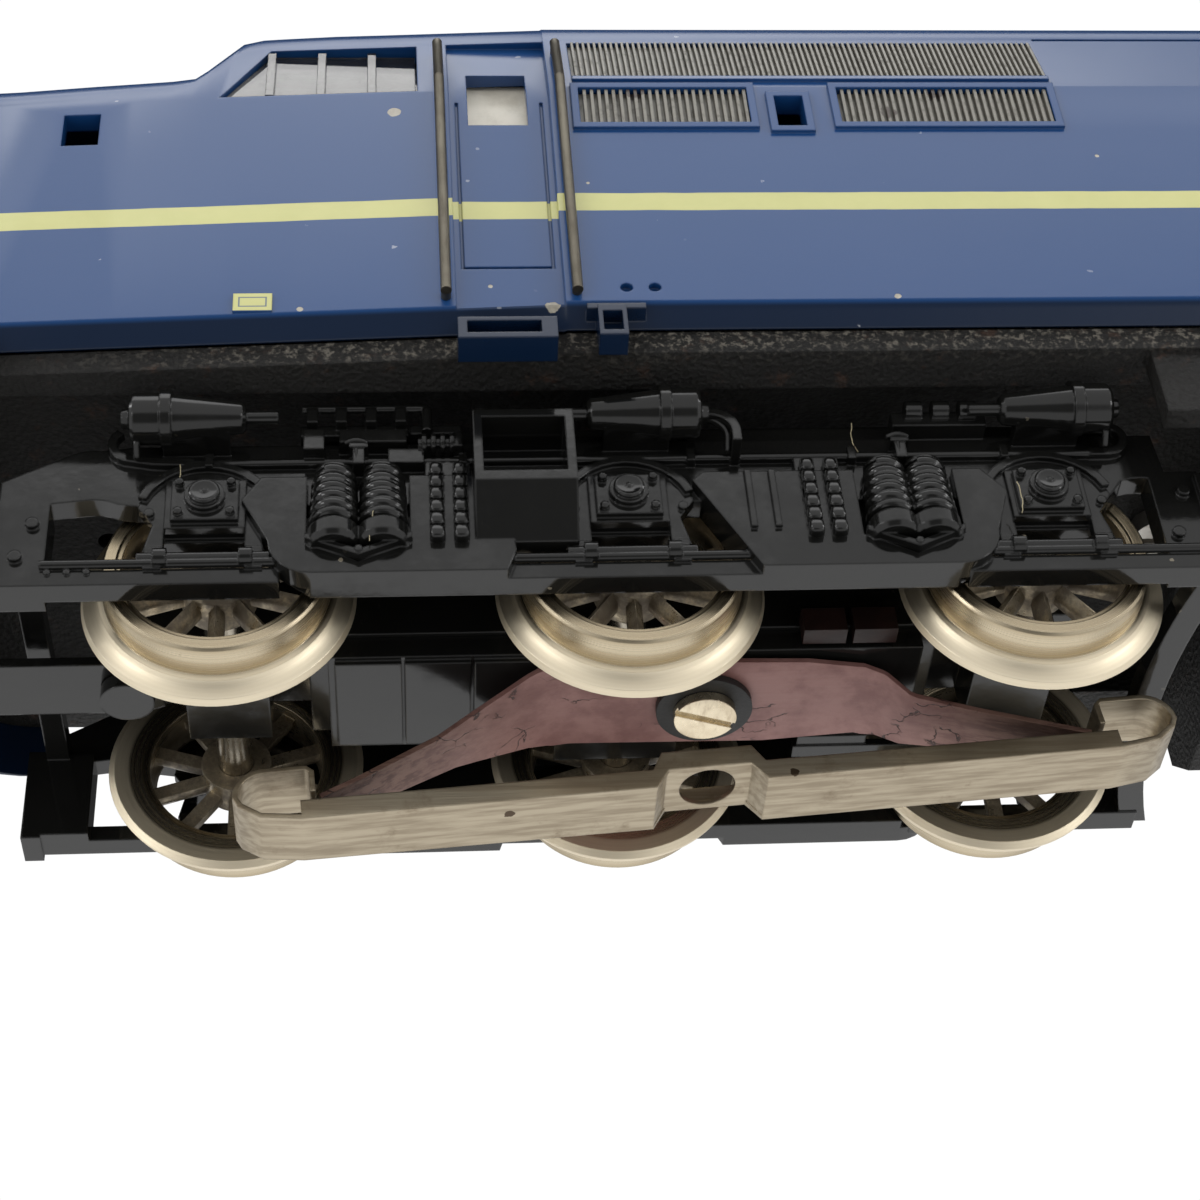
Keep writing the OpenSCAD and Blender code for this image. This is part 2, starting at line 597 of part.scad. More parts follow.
module drop_plates() {
    spring_room = [[-17.2, 5.3], [-14.5, 3.9], [-11.8, 5.3], [-11.8, 11], [-17.2, 11]];
    side_plate(11.2, 12.5) difference() {
        polygon(concat([[-6.8, bar_low]], [[-6.3, 4.6], [-6.8, 8], [-8.6, beam_low], [-19.6, beam_low], [-20.6, 8.4]],
            arc(-16.9, 5.5, 2.3, 180, 270, 6)));
        polygon(spring_room);
    }
    side_plate(plate_in, 11.3) polygon([[-19.2, 5], [-17, bar_low], [-6.8, bar_low], [-6.8, beam_low],
        [-19.6, beam_low]]);
    side_plate(11.2, 12.5) difference() {
        polygon(concat([[3.3, 9.4], [6.5, bar_low]], arc(17, 5.5, 2.3, -90, 0, 6), [[20.2, 8.4], [19, beam_low],
            [3.9, beam_low]]));
        polygon([for (p = spring_room) [-p[0] + 0.25, p[1]]]);
    }
    side_plate(plate_in, 11.3) polygon([[3.3, 9.4], [6.5, bar_low], [17, bar_low], [19.2, 5], [19.2, beam_low],
        [3.9, beam_low]]);
    for (x = [6.1, 7.4]) side_box(x, x + 0.35, 12.4, 12.75, 5.8, 9.9);
}
module bolster_box() {
    difference() {
        cross_prism(-8.4, -3) polygon([[11.2, 5.2], [12.4, 5.2], [14.5, 7.75], [14.5, 12.9], [11.2, 12.9]]);
        side_box(-7.9, -3.5, 11.9, 15, 8.4, 12.35);
    }
}
// Brake cylinder along X, its domed drum at x = drum and its cone pointing towards dir
module brake_cylinder(drum, dir) {
    translate([drum, -13.7, 13.25]) rotate([0, 90 * dir, 0]) rotate_extrude()
        polygon([[0, -2.1], [0.5, -2.1], [0.6, -1.7], [1.25, -1.6], [1.4, -1.4], [1.4, 0], [1.55, 0], [1.55, 0.6],
            [1.32, 0.6], [0.85, 4.3], [0.65, 4.5], [0.35, 4.5], [0.35, 6.2], [0, 6.2]]);
    side_box(min(drum, drum + 3.6 * dir), max(drum, drum + 3.6 * dir), 10.9, 13.6, 12.3, 13.1);
}
module air_pipe() {
    pipe_r = 0.26;
    rod_x(-23.6, 25.8, -12, 11.45, pipe_r);
    for (x = [-22.4, -8.9, 3.4, 12.2, 20.6]) side_box(x - 0.22, x + 0.22, 11.6, 12.4, 11, 11.9);
    side_plate(11.8, 12.25) ribbon(concat([[25.4, 11.45]], arc(26.5, 12.45, 1, -90, 90, 8), [[25.9, 13.45]]), 0.5);
    side_plate(11.8, 12.25) ribbon(concat([[-23.2, 11.45], [-25.4, 11.55]], arc(-26.5, 12.9, 1.1, 250, 130, 6)), 0.5);
    side_plate(13.4, 13.85) ribbon(concat([[4, 13.25]], arc(4.4, 11.85, 1.4, 90, 0, 6), [[5.8, 11.5]]), 0.5);
    side_box(5.55, 6.05, 11.6, 13.85, 11.1, 11.7);
}
// Levers, plates and the small spring above the axle springs
module adjuster() {
    side_box(-17.4, -16.3, 11.2, 13, 11.6, 13.05);
    side_box(-15.5, -11.9, 11.2, 12.75, 12.3, 13.2);
    side_box(-17.6, -11.8, 11.2, 12.35, 13.15, 13.9);
    rod_x(-17.5, -10.7, -12.7, 14.8, 0.24);
    for (x = [-16.95, -15.4, -13.8, -12.2]) side_box(x - 0.3, x + 0.3, 12.3, 13, 13.6, 14.65);
    side_box(-11.7, -8.95, 11.2, 12.5, 13.1, 13.7);
    rod_z(-10.8, -12.7, 13, 14.7, 0.3);
    rod_x(-11.3, -9.1, -12.65, 12.2, 0.33);
    for (k = [0:3]) rod_x(-11.1 + 0.5 * k, -10.85 + 0.5 * k, -12.65, 12.2, 0.55);
    side_box(-9.4, -8.9, 11.2, 13, 11.7, 12.7);
    side_box(-12.9, -11, 11.2, 12.6, 10.9, 11.9);
}
module brake_gear() {
    brake_cylinder(-24.9, 1);
    brake_cylinder(2.3, -1);
    brake_cylinder(24.9, -1);
    adjuster();
    side_box(14.6, 19.8, 11.2, 12.9, 12.9, 13.9);
    for (k = [0:2]) rod_x(15.4 + 1.5 * k, 16.3 + 1.5 * k, -12.9, 14.0, 0.55);
    rod_x(-30.8, -6.6, -11.9, 4.5, 0.26);
    rod_x(-7.2, 8, -11.9, 4.5, 0.26);
    rod_x(18, 30.6, -11.9, 4.5, 0.26);
}
module frame_ends() {
    side_box(-33.4, -30.6, 9.8, 11.8, bar_low, 9);
    side_box(28.4, 31.2, 10.2, 11.8, bar_low, 10.2);
    side_box(-34.4, -33.3, 9.8, 12.1, 3, 9.2);
    side_box(30.9, 31.5, 9.6, 12.1, 4.4, 9.8);
    for (p = [[-32.1, 5.1], [-31.4, 7.4], [29.2, 5.6], [30.1, 8.6]]) rod_y(p[0], -12.1, -11.7, p[1], 0.35);
    for (x = [-30.4, -29.4, -28.4]) rod_y(x, -11.95, -11.7, 4.05, 0.18);
}
module side_frame() {
    frame_web();
    for (xc = [-axle_pitch - 0.5, -0.2, axle_pitch + 0.5]) pedestal(xc);
    drop_plates();
    spring_pair(-15.75, -13.2);
    spring_pair(13.7, 15.9);
    snubber(-9.75);
    snubber(10.15);
    bolster_box();
    air_pipe();
    brake_gear();
    frame_ends();
}
module frame_pair() {
    for (my = [0, 1]) mirror([0, my, 0]) side_frame();
    intersection() {
        translate([69.3, 0, 3.3]) difference() {
            cylinder(h = 1.2, r = 40.5, $fn = 96);
            translate([0, 0, -1]) cylinder(h = 4, r = 39, $fn = 96);
        }
        translate([28, -11.2, 3]) cube([4, 22.4, 3]);
    }
    translate([-33.3, -10.5, 8.6]) cube([1.3, 21, 1.2]);
}
module front_sideframes() {
    color(gloss_black) at_front() difference() {
        union() {
            frame_pair();
            translate([-14.8, -11, 13.6]) cube([29.6, 22, 0.8]);
            for (s = [-1, 1]) translate([-14.8, s > 0 ? 10.5 : -11.3, 12.9]) cube([29.6, 0.8, 1.5]);
            cylinder(h = 16.9, r = 4.5);
        }
        translate([0, 0, -1]) cylinder(h = 14.6, r = 5);
        translate([0, 0, 10]) cylinder(h = 8, r = 1.25);
    }
}
module rear_sideframes() {
    color(gloss_black) at_rear() frame_pair();
}
// ---------------------------------------------------------------- wheels
axle_r = 1;
axle_z = tread_r;
wheel_in = back_to_back / 2;
wheel_out = wheel_in + 3.2;
hub_r = 2;

module wheel(groove) {
    rim_in = 4.75;
    rotate([90, 0, 0]) {
        rotate_extrude($fn = 64) polygon(concat([[rim_in + 0.2, wheel_in + 0.25], [rim_in + 0.6, wheel_in],
            [flange_r - 0.35, wheel_in], [flange_r, wheel_in + 0.3], [flange_r - 0.15, wheel_in + 0.7],
            [tread_r + 0.55, wheel_in + 0.95], [tread_r + 0.35, wheel_in + 1.2], [tread_r + 0.02, wheel_in + 1.3]],
            groove ? [[tread_r, wheel_in + 1.6], [tread_r - 0.4, wheel_in + 1.6], [tread_r - 0.4, wheel_in + 2.7],
                [tread_r, wheel_in + 2.7]] : [],
            [[tread_r - 0.06, wheel_out - 0.15], [tread_r - 0.2, wheel_out], [rim_in + 0.5, wheel_out],
            [rim_in + 0.4, wheel_out - 0.12], [rim_in + 0.2, wheel_out - 0.12], [rim_in + 0.1, wheel_out - 0.5],
            [rim_in, wheel_out - 0.8]]));
        rotate_extrude() polygon([[axle_r + 0.02, wheel_in + 0.02], [hub_r, wheel_in + 0.02], [hub_r, wheel_out - 1.1],
            [1.5, wheel_out - 0.5], [axle_r + 0.02, wheel_out - 0.5]]);
        for (k = [0:spokes - 1]) rotate([0, 0, (k + 0.5) * 360 / spokes]) translate([1.7, 0, wheel_in + 0.9])
            rotate([90, 0, 90]) linear_extrude(rim_in - 1.4)
                polygon([[-0.42, 0], [0.42, 0], [0.42, 0.55], [0, 1.25], [-0.42, 0.55]]);
    }
}
module wheel_pair(k, grooves) {
    translate([k * axle_pitch, 0, axle_z]) {
        wheel(grooves);
        rotate([0, 0, 180]) wheel(false);
    }
}
module axle(k) {
    rod_y(k * axle_pitch, -wheel_out + 0.45, wheel_out - 0.45, axle_z, axle_r);
}
module front_axles_1() { color(steel) at_front() axle(-1); }
module front_axles_2() { color(steel) at_front() axle(0); }
module front_axles_3() { color(steel) at_front() axle(1); }
module front_wheels_1() { color(nickel) at_front() wheel_pair(-1, false); }
module front_wheels_2() { color(nickel) at_front() wheel_pair(0, false); }
module front_wheels_3() { color(nickel) at_front() wheel_pair(1, false); }
// ---------------------------------------------------------------- pickup bogie
pickup_x = 4.4;
coupler_x = -27.5;

module coupler_rivet() {
    rod_z(coupler_x, 0, 5.3, 7, 0.9);
    rod_z(coupler_x, 0, 4.9, 5.8, 1.5);
}
module front_bogie_block() {
    color(gloss_black) at_front() difference() {
        union() {
            translate([-17.5, -4.2, 6.02]) cube([35, 8.4, 7.5]);
            translate([-28.9, -3.2, 7.4]) cube([54.4, 6.4, 6.12]);
            for (s = [-1, 1]) translate([axle_pitch * s - 2.3, -3.2, 4.8]) cube([4.6, 6.4, 3]);
            translate([-28.9, -2.2, 6.55]) cube([2.8, 4.4, 1]);
            coupler_rivet();
        }
        for (k = [-1:1]) rod_y(k * axle_pitch, -8, 8, axle_z, axle_r + gap);
        rod_z(pickup_x, 0, 5, 10, 0.85);
        rod_z(0, 0, 9.6, 14, 1.22);
    }
}
module front_keeper_plate() {
    color(gloss_black) at_front() difference() {
        union() {
            translate([-16.4, -3.9, 4.62]) cube([32.8, 7.8, 1.36]);
            for (i = [0:2]) translate([-16 + 3.8 * i, -3.6, 4.35]) cube([3.6, 7.1, 0.35]);
            translate([-3.8, 3.8, 4.5]) cube([7, 1.7, 0.4]);
            translate([10.2, 3.8, 4.5]) cube([4, 1.6, 0.4]);
            translate([10, 4.6, 4.4]) cube([14.4, 1, 0.45]);
        }
        rod_y(0, -8, 8, axle_z, axle_r + gap);
        rod_z(pickup_x, 0, 4, 7, 0.85);
    }
}
module insulating_blocks() {
    color([0.25, 0.13, 0.1]) at_front() for (x = [9.6, 12.4]) translate([x, -5.4, 4.7]) cube([2.4, 1.15, 1.6]);
}
module pickup_spring() {
    color(copper) at_front() difference() {
        intersection() {
            translate([0, 4, 0]) rotate([90, 0, 0]) linear_extrude(8)
                ribbon([[-16.8, -2.6], [-14.6, -1.5], [-8.5, 1.9], [-5.5, 3.5], [-4.3, 3.95], [-3, 4.15],
                    [13.2, 4.15], [14.4, 3.7], [15.6, 2.7], [19, 1.9], [24.4, 0.75], [25.6, 0.5]], 0.3);
            translate([0, 0, -4]) linear_extrude(10)
                polygon([[-17, -1.15], [-10.5, -1.6], [-5, -3.6], [0, -3.8], [10, -3.5], [14.2, -2.8], [16, -2.1],
                    [20, -1.7], [27, -1.15], [27, 1.15], [20, 1.6], [15.6, 2.1], [13.6, 2.8], [8, 3.4], [-4, 3.3],
                    [-9.5, 1.6], [-17, 1.15]]);
        }
        rod_z(pickup_x, 0, 3, 6, 0.9);
    }
}
module pickup_washer() {
    color([0.05, 0.05, 0.05]) at_front() difference() {
        rod_z(pickup_x, 0, 3.52, 3.96, 2.7);
        rod_z(pickup_x, 0, 3, 5, 0.85);
    }
}
module pickup_screw() {
    color(steel) at_front() difference() {
        union() {
            rod_z(pickup_x, 0, 2.9, 3.48, 1.75);
            rod_z(pickup_x, 0, 3.4, 9.8, 0.8);
        }
        translate([pickup_x, 0, 2.8]) rotate([0, 0, 20]) cube([4, 0.45, 0.7], center = true);
    }
}
module pickup_shoe() {
    sheet = 0.3;
    low = -2.55;
    mid_x = 4.1;
    left = 4.6 - shoe_len / 2;
    right = 4.6 + shoe_len / 2;
    middle = [[left + 3.4, low], [mid_x - 3, low], [mid_x - 2.3, low + 1.1], [mid_x + 2.4, low + 1.1],
        [mid_x + 3.1, low], [right - 3.4, low]];
    bend = 1.6;
    end_loop = concat([[4.1, -0.95], [4.1, 0.35], [3.8, 0.62], [1.6, 0.62]], arc(bend, 0.62 - bend, bend, 95, 180, 6),
        [[0.25, -1.5], [1.3, -2.25]]);
    path = concat([for (p = end_loop) [left + p[0], p[1]]], middle,
        [for (k = [len(end_loop) - 1:-1:0]) [right - end_loop[k][0], end_loop[k][1]]]);
    hang_z = -2.73;                   // height of the shoe's underside at its middle
    color(nickel) at_front() translate([mid_x, 0, hang_z]) rotate([0, -shoe_tilt, 0])
            translate([-mid_x, 0, -low]) difference() {
        union() {
            translate([0, shoe_w / 2, 0]) rotate([90, 0, 0]) linear_extrude(shoe_w) ribbon(path, sheet);
            for (s = [0, 1]) translate([0, s * (shoe_w - sheet) - shoe_w / 2 + sheet, 0]) rotate([90, 0, 0])
                linear_extrude(sheet) ribbon([for (p = middle) p + [0, 0.45]], 1.2);
        }
        rod_z(mid_x + 0.05, 0, -3, 0, 1.55);
    }
}
module front_pivot_screw() {
    color(steel) at_front() difference() {
        union() {
            rod_z(0, 0, 9.8, 17, 1.2);
            rod_z(0, 0, 16.93, 18.75, 2);
            rod_z(0, 0, 18.7, 19.8, 3.4);
        }
        translate([-4, -0.3, 19.3]) cube([8, 0.6, 1]);
    }
}
// ---------------------------------------------------------------- couplers
loop_x = -44.4;
loop_z = 6.2;
module coupler_arm() {
    difference() {
        union() {
            translate([0, 0, 5.9]) linear_extrude(0.6)
                polygon([[-25.6, -1.6], [-25.6, 1.6], [-27, 2.1], [-38, 2.1], [-41, 2.8], [-45.4, 2.8], [-45.4, -2.8],
                    [-41, -2.8], [-38, -2.1], [-27, -2.1]]);
            translate([-49, -0.5, 4.4]) rotate([90, 0, 0]) translate([0, 0, -1]) linear_extrude(1)
                polygon([[3.6, 1.5], [3.6, 2.1], [0.2, 2.1], [-0.3, 3.2], [-0.9, 3.2], [-0.9, 1.5]]);
            for (s = [-1, 1]) translate([loop_x - 1, s > 0 ? 2.1 : -2.8, loop_z - 0.3]) cube([2, 0.7, 1.6]);
            translate([-40, -0.35, 4.2]) cube([3, 0.7, 1.8]);
        }
        rod_z(coupler_x, 0, 5, 7, 0.95);
        rod_y(loop_x, -6, 6, loop_z + 0.75, 0.45);
    }
}
module coupler_loop() {
    wire_r = 0.4;
    z = loop_z + 0.75;
    rod_y(loop_x, -4.6, 4.6, z, wire_r);
    for (s = [-1, 1]) rod_x(-51.5, loop_x + 0.5, 4.4 * s, z, wire_r * 0.95);
    rod_y(-51.3, -4.9, 4.9, z, wire_r * 0.9);
}
module front_coupler_arm() { color(gloss_black) at_front() coupler_arm(); }
module front_coupler_loop() { color(steel) at_front() coupler_loop(); }
module rear_coupler_arm() { color(gloss_black) at_rear() coupler_arm(); }
module rear_coupler_loop() { color(steel) at_rear() coupler_loop(); }
// ---------------------------------------------------------------- motor bogie
motor_z = 22;
gear_y = [3.4, 5];
wheel_teeth = 24;
idler_teeth = 35;
transfer_teeth = 30;
pinion_teeth = 10;
mesh_slack = 0.02;                // extra centre distance between meshing gears
function pitch_r(teeth) = gear_m * teeth / 2;

// Centres in X and Z
idler_reach = pitch_r(wheel_teeth) + pitch_r(idler_teeth) + mesh_slack;
idler_x = axle_pitch / 2;
idler_z = axle_z + sqrt(pow(idler_reach, 2) - pow(idler_x, 2));
to_pinion = pitch_r(pinion_teeth) + pitch_r(transfer_teeth) + mesh_slack;
to_idler = pitch_r(idler_teeth) + pitch_r(transfer_teeth) + mesh_slack;
span = norm([idler_x, motor_z - idler_z]);
along = (pow(to_pinion, 2) - pow(to_idler, 2) + pow(span, 2)) / (2 * span);
aside = sqrt(pow(to_pinion, 2) - pow(along, 2));
span_dir = [-idler_x, idler_z - motor_z] / span;
transfer_at = [0, motor_z] + along * span_dir + aside * [span_dir[1], -span_dir[0]];
idler_1_at = [-idler_x, idler_z];
idler_2_at = [idler_x, idler_z];

// Rotation that puts a gear's tooth gap opposite the tooth of the gear that drives it
function bearing_of(a, b) = atan2(b[1] - a[1], b[0] - a[0]);
function meshed(a, b, turn_a, teeth_a, teeth_b) =
    let (way = bearing_of(a, b))
    way + 180 - 180 / teeth_b + (way - turn_a) * teeth_a / teeth_b;
axle_at = [for (k = [-1:1]) [k * axle_pitch, axle_z]];
turn_w2 = 0;
turn_i1 = meshed(axle_at[1], idler_1_at, turn_w2, wheel_teeth, idler_teeth);
turn_i2 = meshed(axle_at[1], idler_2_at, turn_w2, wheel_teeth, idler_teeth);
turn_w1 = meshed(idler_1_at, axle_at[0], turn_i1, idler_teeth, wheel_teeth);
turn_w3 = meshed(idler_2_at, axle_at[2], turn_i2, idler_teeth, wheel_teeth);
turn_t = meshed(idler_1_at, transfer_at, turn_i1, idler_teeth, transfer_teeth);
turn_p = meshed(transfer_at, [0, motor_z], turn_t, transfer_teeth, pinion_teeth);

module gear_outline(teeth, turn) {
    root = pitch_r(teeth) - 1.15 * gear_m;
    tip = pitch_r(teeth) + 0.85 * gear_m;
    step = 360 / teeth;
    polygon([for (k = [0:teeth - 1], q = [[-0.27, root], [-0.09, tip], [0.09, tip], [0.27, root]])
        let (a = turn + (k + q[0]) * step) [q[1] * cos(a), q[1] * sin(a)]]);
}
// Gear in the plane of the drive train, at a centre given in X and Z
module drive_gear(at, teeth, turn, bore) {
    translate([at[0], gear_y[1], at[1]]) rotate([90, 0, 0]) linear_extrude(gear_y[1] - gear_y[0])
        difference() {
            gear_outline(teeth, turn);
            circle(r = bore);
        }
}
pin_r = 0.8;
module geared_wheels(k, turn, grooves) {
    color(nickel) at_rear() {
        wheel_pair(k, grooves);
        drive_gear([k * axle_pitch, axle_z], wheel_teeth, turn, axle_r + 0.02);
        translate([k * axle_pitch, gear_y[1] - 0.1, axle_z]) rotate([-90, 0, 0])
            rotate_extrude() polygon([[axle_r + 0.02, 0], [hub_r, 0], [hub_r, 2.3], [axle_r + 0.02, 2.3]]);
    }
}
module rear_wheels_1() { geared_wheels(-1, turn_w1, true); }
module rear_wheels_2() { geared_wheels(0, turn_w2, false); }
module rear_wheels_3() { geared_wheels(1, turn_w3, true); }
module tyre(k) {
    inner = tread_r - 0.38;
    color([0.08, 0.08, 0.08]) at_rear() translate([k * axle_pitch, 0, axle_z]) rotate([90, 0, 0])
        rotate_extrude($fn = 64) polygon([[inner, wheel_in + 1.62], [tread_r + 0.02, wheel_in + 1.62],
            [tread_r + 0.02, wheel_in + 2.68], [inner, wheel_in + 2.68]]);
}
module traction_tyres_1() { tyre(-1); }
module traction_tyres_3() { tyre(1); }
module rear_axles_1() { color(steel) at_rear() axle(-1); }
module rear_axles_2() { color(steel) at_rear() axle(0); }
module rear_axles_3() { color(steel) at_rear() axle(1); }
module transfer_gear() { color(steel) at_rear() drive_gear(transfer_at, transfer_teeth, turn_t, pin_r + gap); }
module idler_gear_1() { color(steel) at_rear() drive_gear(idler_1_at, idler_teeth, turn_i1, pin_r + gap); }
module idler_gear_2() { color(steel) at_rear() drive_gear(idler_2_at, idler_teeth, turn_i2, pin_r + gap); }
module gear_pins() {
    color(steel) at_rear() for (c = [transfer_at, idler_1_at, idler_2_at]) {
        rod_y(c[0], 2.04, gear_y[1] + 0.2, c[1], pin_r);
        rod_y(c[0], gear_y[1] + 0.1, gear_y[1] + 0.6, c[1], 1.3);
    }
}
housing_r = 13;
magnet_r = 11.8;
module motor_frame() {
    color(dark_cast) at_rear() difference() {
        union() {
            translate([-24.6, -5.8, 4.7]) cube([51.6, 9, 8.8]);
            translate([-27, -5.8, 6.55]) cube([3, 9, 6.95]);
            rod_y(0, -5.8, 3.2, motor_z, housing_r);
            translate([-9, -5.8, 12]) cube([18, 9, 8]);
            translate([-3.6, -5.8, 33]) cube([7.2, 8.4, 2.4]);
            translate([-28.9, -2.2, 6.55]) cube([2.8, 4.4, 3]);
            translate([26.9, -3, 4.7]) cube([1.8, 6, 3]);
            coupler_rivet();
        }
        rod_y(0, -7, 2, motor_z, magnet_r + gap);
        rod_y(0, -7, 8, motor_z, 0.8);
        for (k = [-1:1]) rod_y(k * axle_pitch, -8, 8, axle_z, axle_r + gap);
        for (c = [transfer_at, idler_1_at, idler_2_at]) rod_y(c[0], 1.9, 4, c[1], pin_r + 0.02);
        rod_z(0, 0, 34, 36, 1.22);
    }
}
module rear_pivot_screw() {
    color(steel) translate([bogie_x, 0, 0]) difference() {
        union() {
            rod_z(0, 0, 34.05, 35.5, 1.2);
            rod_z(0, 0, 35.43, 37, 2);
            rod_z(0, 0, 36.95, 38, 3.2);
        }
        translate([-4, -0.3, 37.5]) cube([8, 0.6, 1]);
    }
}
module field_magnet() {
    color([0.3, 0.3, 0.32]) at_rear() difference() {
        rod_y(0, -3.6, 1.8, motor_z, magnet_r);
        rod_y(0, -5, 4, motor_z, armature_r + 0.3);
        for (s = [-1, 1]) translate([-1.6, -5, motor_z + 10 * s - 4]) cube([3.2, 8, 8]);
    }
}
module armature() {
    color([0.5, 0.32, 0.2]) at_rear() {
        difference() {
            union() {
                rod_y(0, -3.4, 1.5, motor_z, armature_r);
                rod_y(0, -5.4, -3.3, motor_z, 3.2);
                rod_y(0, -7.3, 5.1, motor_z, 0.75);
            }
            for (a = [30, 150, 270]) translate([0, -4, motor_z]) rotate([0, a, 0])
                translate([2.6, 0.55, -0.6]) cube([6, 6, 1.2]);
            for (a = [90, 210, 330]) translate([0, -6, motor_z]) rotate([0, a, 0])
                translate([1.2, 0, -0.12]) cube([3, 2.2, 0.24]);
        }
        drive_gear([0, motor_z], pinion_teeth, turn_p, 0.7);
    }
}
module motor_shield() {
    color([0.12, 0.1, 0.08]) at_rear() difference() {
        union() {
            rod_y(0, -7, -5.85, motor_z, housing_r - 0.5);
            rod_y(0, -7.6, -6.9, motor_z, 2.2);
        }
        rod_y(0, -9, -5, motor_z, 0.8);
    }
}
module brush_tubes() {
    color([0.7, 0.55, 0.25]) at_rear() for (s = [-1, 1]) translate([s > 0 ? 3.9 : -7.9, -4.75, motor_z])
        rotate([0, 90, 0]) difference() {
            cylinder(h = 4, r = 0.95);
            translate([0, 0, -1]) cylinder(h = 6, r = 0.72);
        }
}
module carbon_brushes() {
    color([0.15, 0.15, 0.15]) at_rear() for (s = [-1, 1])
        rod_x(s > 0 ? 3.25 : -7, s > 0 ? 7 : -3.25, -4.75, motor_z, 0.7);
}

body_shell();
chassis_frame();
front_cab_glazing();
rear_cab_glazing();
door_panes();
upper_grilles();
lower_grilles();
handrails();
roof_fans();
exhaust_stacks();
headlight_lenses();
lamp_bulbs();
lamp_brackets();
buffers();
body_screws();
ballast_weight();
circuit_board();
reversing_relay();
lamp_wires();
motor_bridge();
front_bogie_block();
front_keeper_plate();
front_sideframes();
front_pivot_screw();
insulating_blocks();
pickup_spring();
pickup_washer();
pickup_screw();
pickup_shoe();
front_axles_1();
front_axles_2();
front_axles_3();
front_wheels_1();
front_wheels_2();
front_wheels_3();
front_coupler_arm();
front_coupler_loop();
motor_frame();
rear_sideframes();
rear_pivot_screw();
field_magnet();
armature();
motor_shield();
carbon_brushes();
brush_tubes();
gear_pins();
transfer_gear();
idler_gear_1();
idler_gear_2();
rear_axles_1();
rear_axles_2();
rear_axles_3();
rear_wheels_1();
rear_wheels_2();
rear_wheels_3();
traction_tyres_1();
traction_tyres_3();
rear_coupler_arm();
rear_coupler_loop();
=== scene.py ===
"""Looks of the model diesel locomotive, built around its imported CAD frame. Lengths are in metres."""

import math
import random

import bmesh
import bpy
from mathutils import Matrix, Vector


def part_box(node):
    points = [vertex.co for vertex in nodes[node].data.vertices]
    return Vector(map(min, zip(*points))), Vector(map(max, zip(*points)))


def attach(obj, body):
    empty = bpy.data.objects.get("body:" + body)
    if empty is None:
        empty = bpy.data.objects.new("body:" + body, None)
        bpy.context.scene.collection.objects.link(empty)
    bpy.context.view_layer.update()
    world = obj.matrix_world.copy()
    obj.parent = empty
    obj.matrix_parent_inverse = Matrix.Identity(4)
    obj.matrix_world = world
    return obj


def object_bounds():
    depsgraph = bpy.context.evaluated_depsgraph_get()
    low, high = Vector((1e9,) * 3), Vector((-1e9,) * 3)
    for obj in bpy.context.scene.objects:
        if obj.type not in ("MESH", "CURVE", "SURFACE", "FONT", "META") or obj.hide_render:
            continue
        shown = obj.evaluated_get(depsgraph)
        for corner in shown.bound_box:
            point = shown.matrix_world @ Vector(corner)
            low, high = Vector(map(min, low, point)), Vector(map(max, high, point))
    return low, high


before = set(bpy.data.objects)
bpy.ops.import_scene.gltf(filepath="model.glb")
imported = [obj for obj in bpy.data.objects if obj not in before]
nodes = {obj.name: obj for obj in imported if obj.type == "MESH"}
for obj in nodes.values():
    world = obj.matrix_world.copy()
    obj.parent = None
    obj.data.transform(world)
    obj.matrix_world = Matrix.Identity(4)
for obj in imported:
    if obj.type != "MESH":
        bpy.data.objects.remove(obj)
cad_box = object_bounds()
MM = 0.001
BOGIE_X = 0.059


# ---------------------------------------------------------------- small helpers
def srgb(r, g, b):
    """Linear colour of a screen colour with channels from 0 to 255."""
    def linear(c):
        c /= 255
        return c / 12.92 if c <= 0.04045 else ((c + 0.055) / 1.055) ** 2.4
    return (linear(r), linear(g), linear(b), 1)


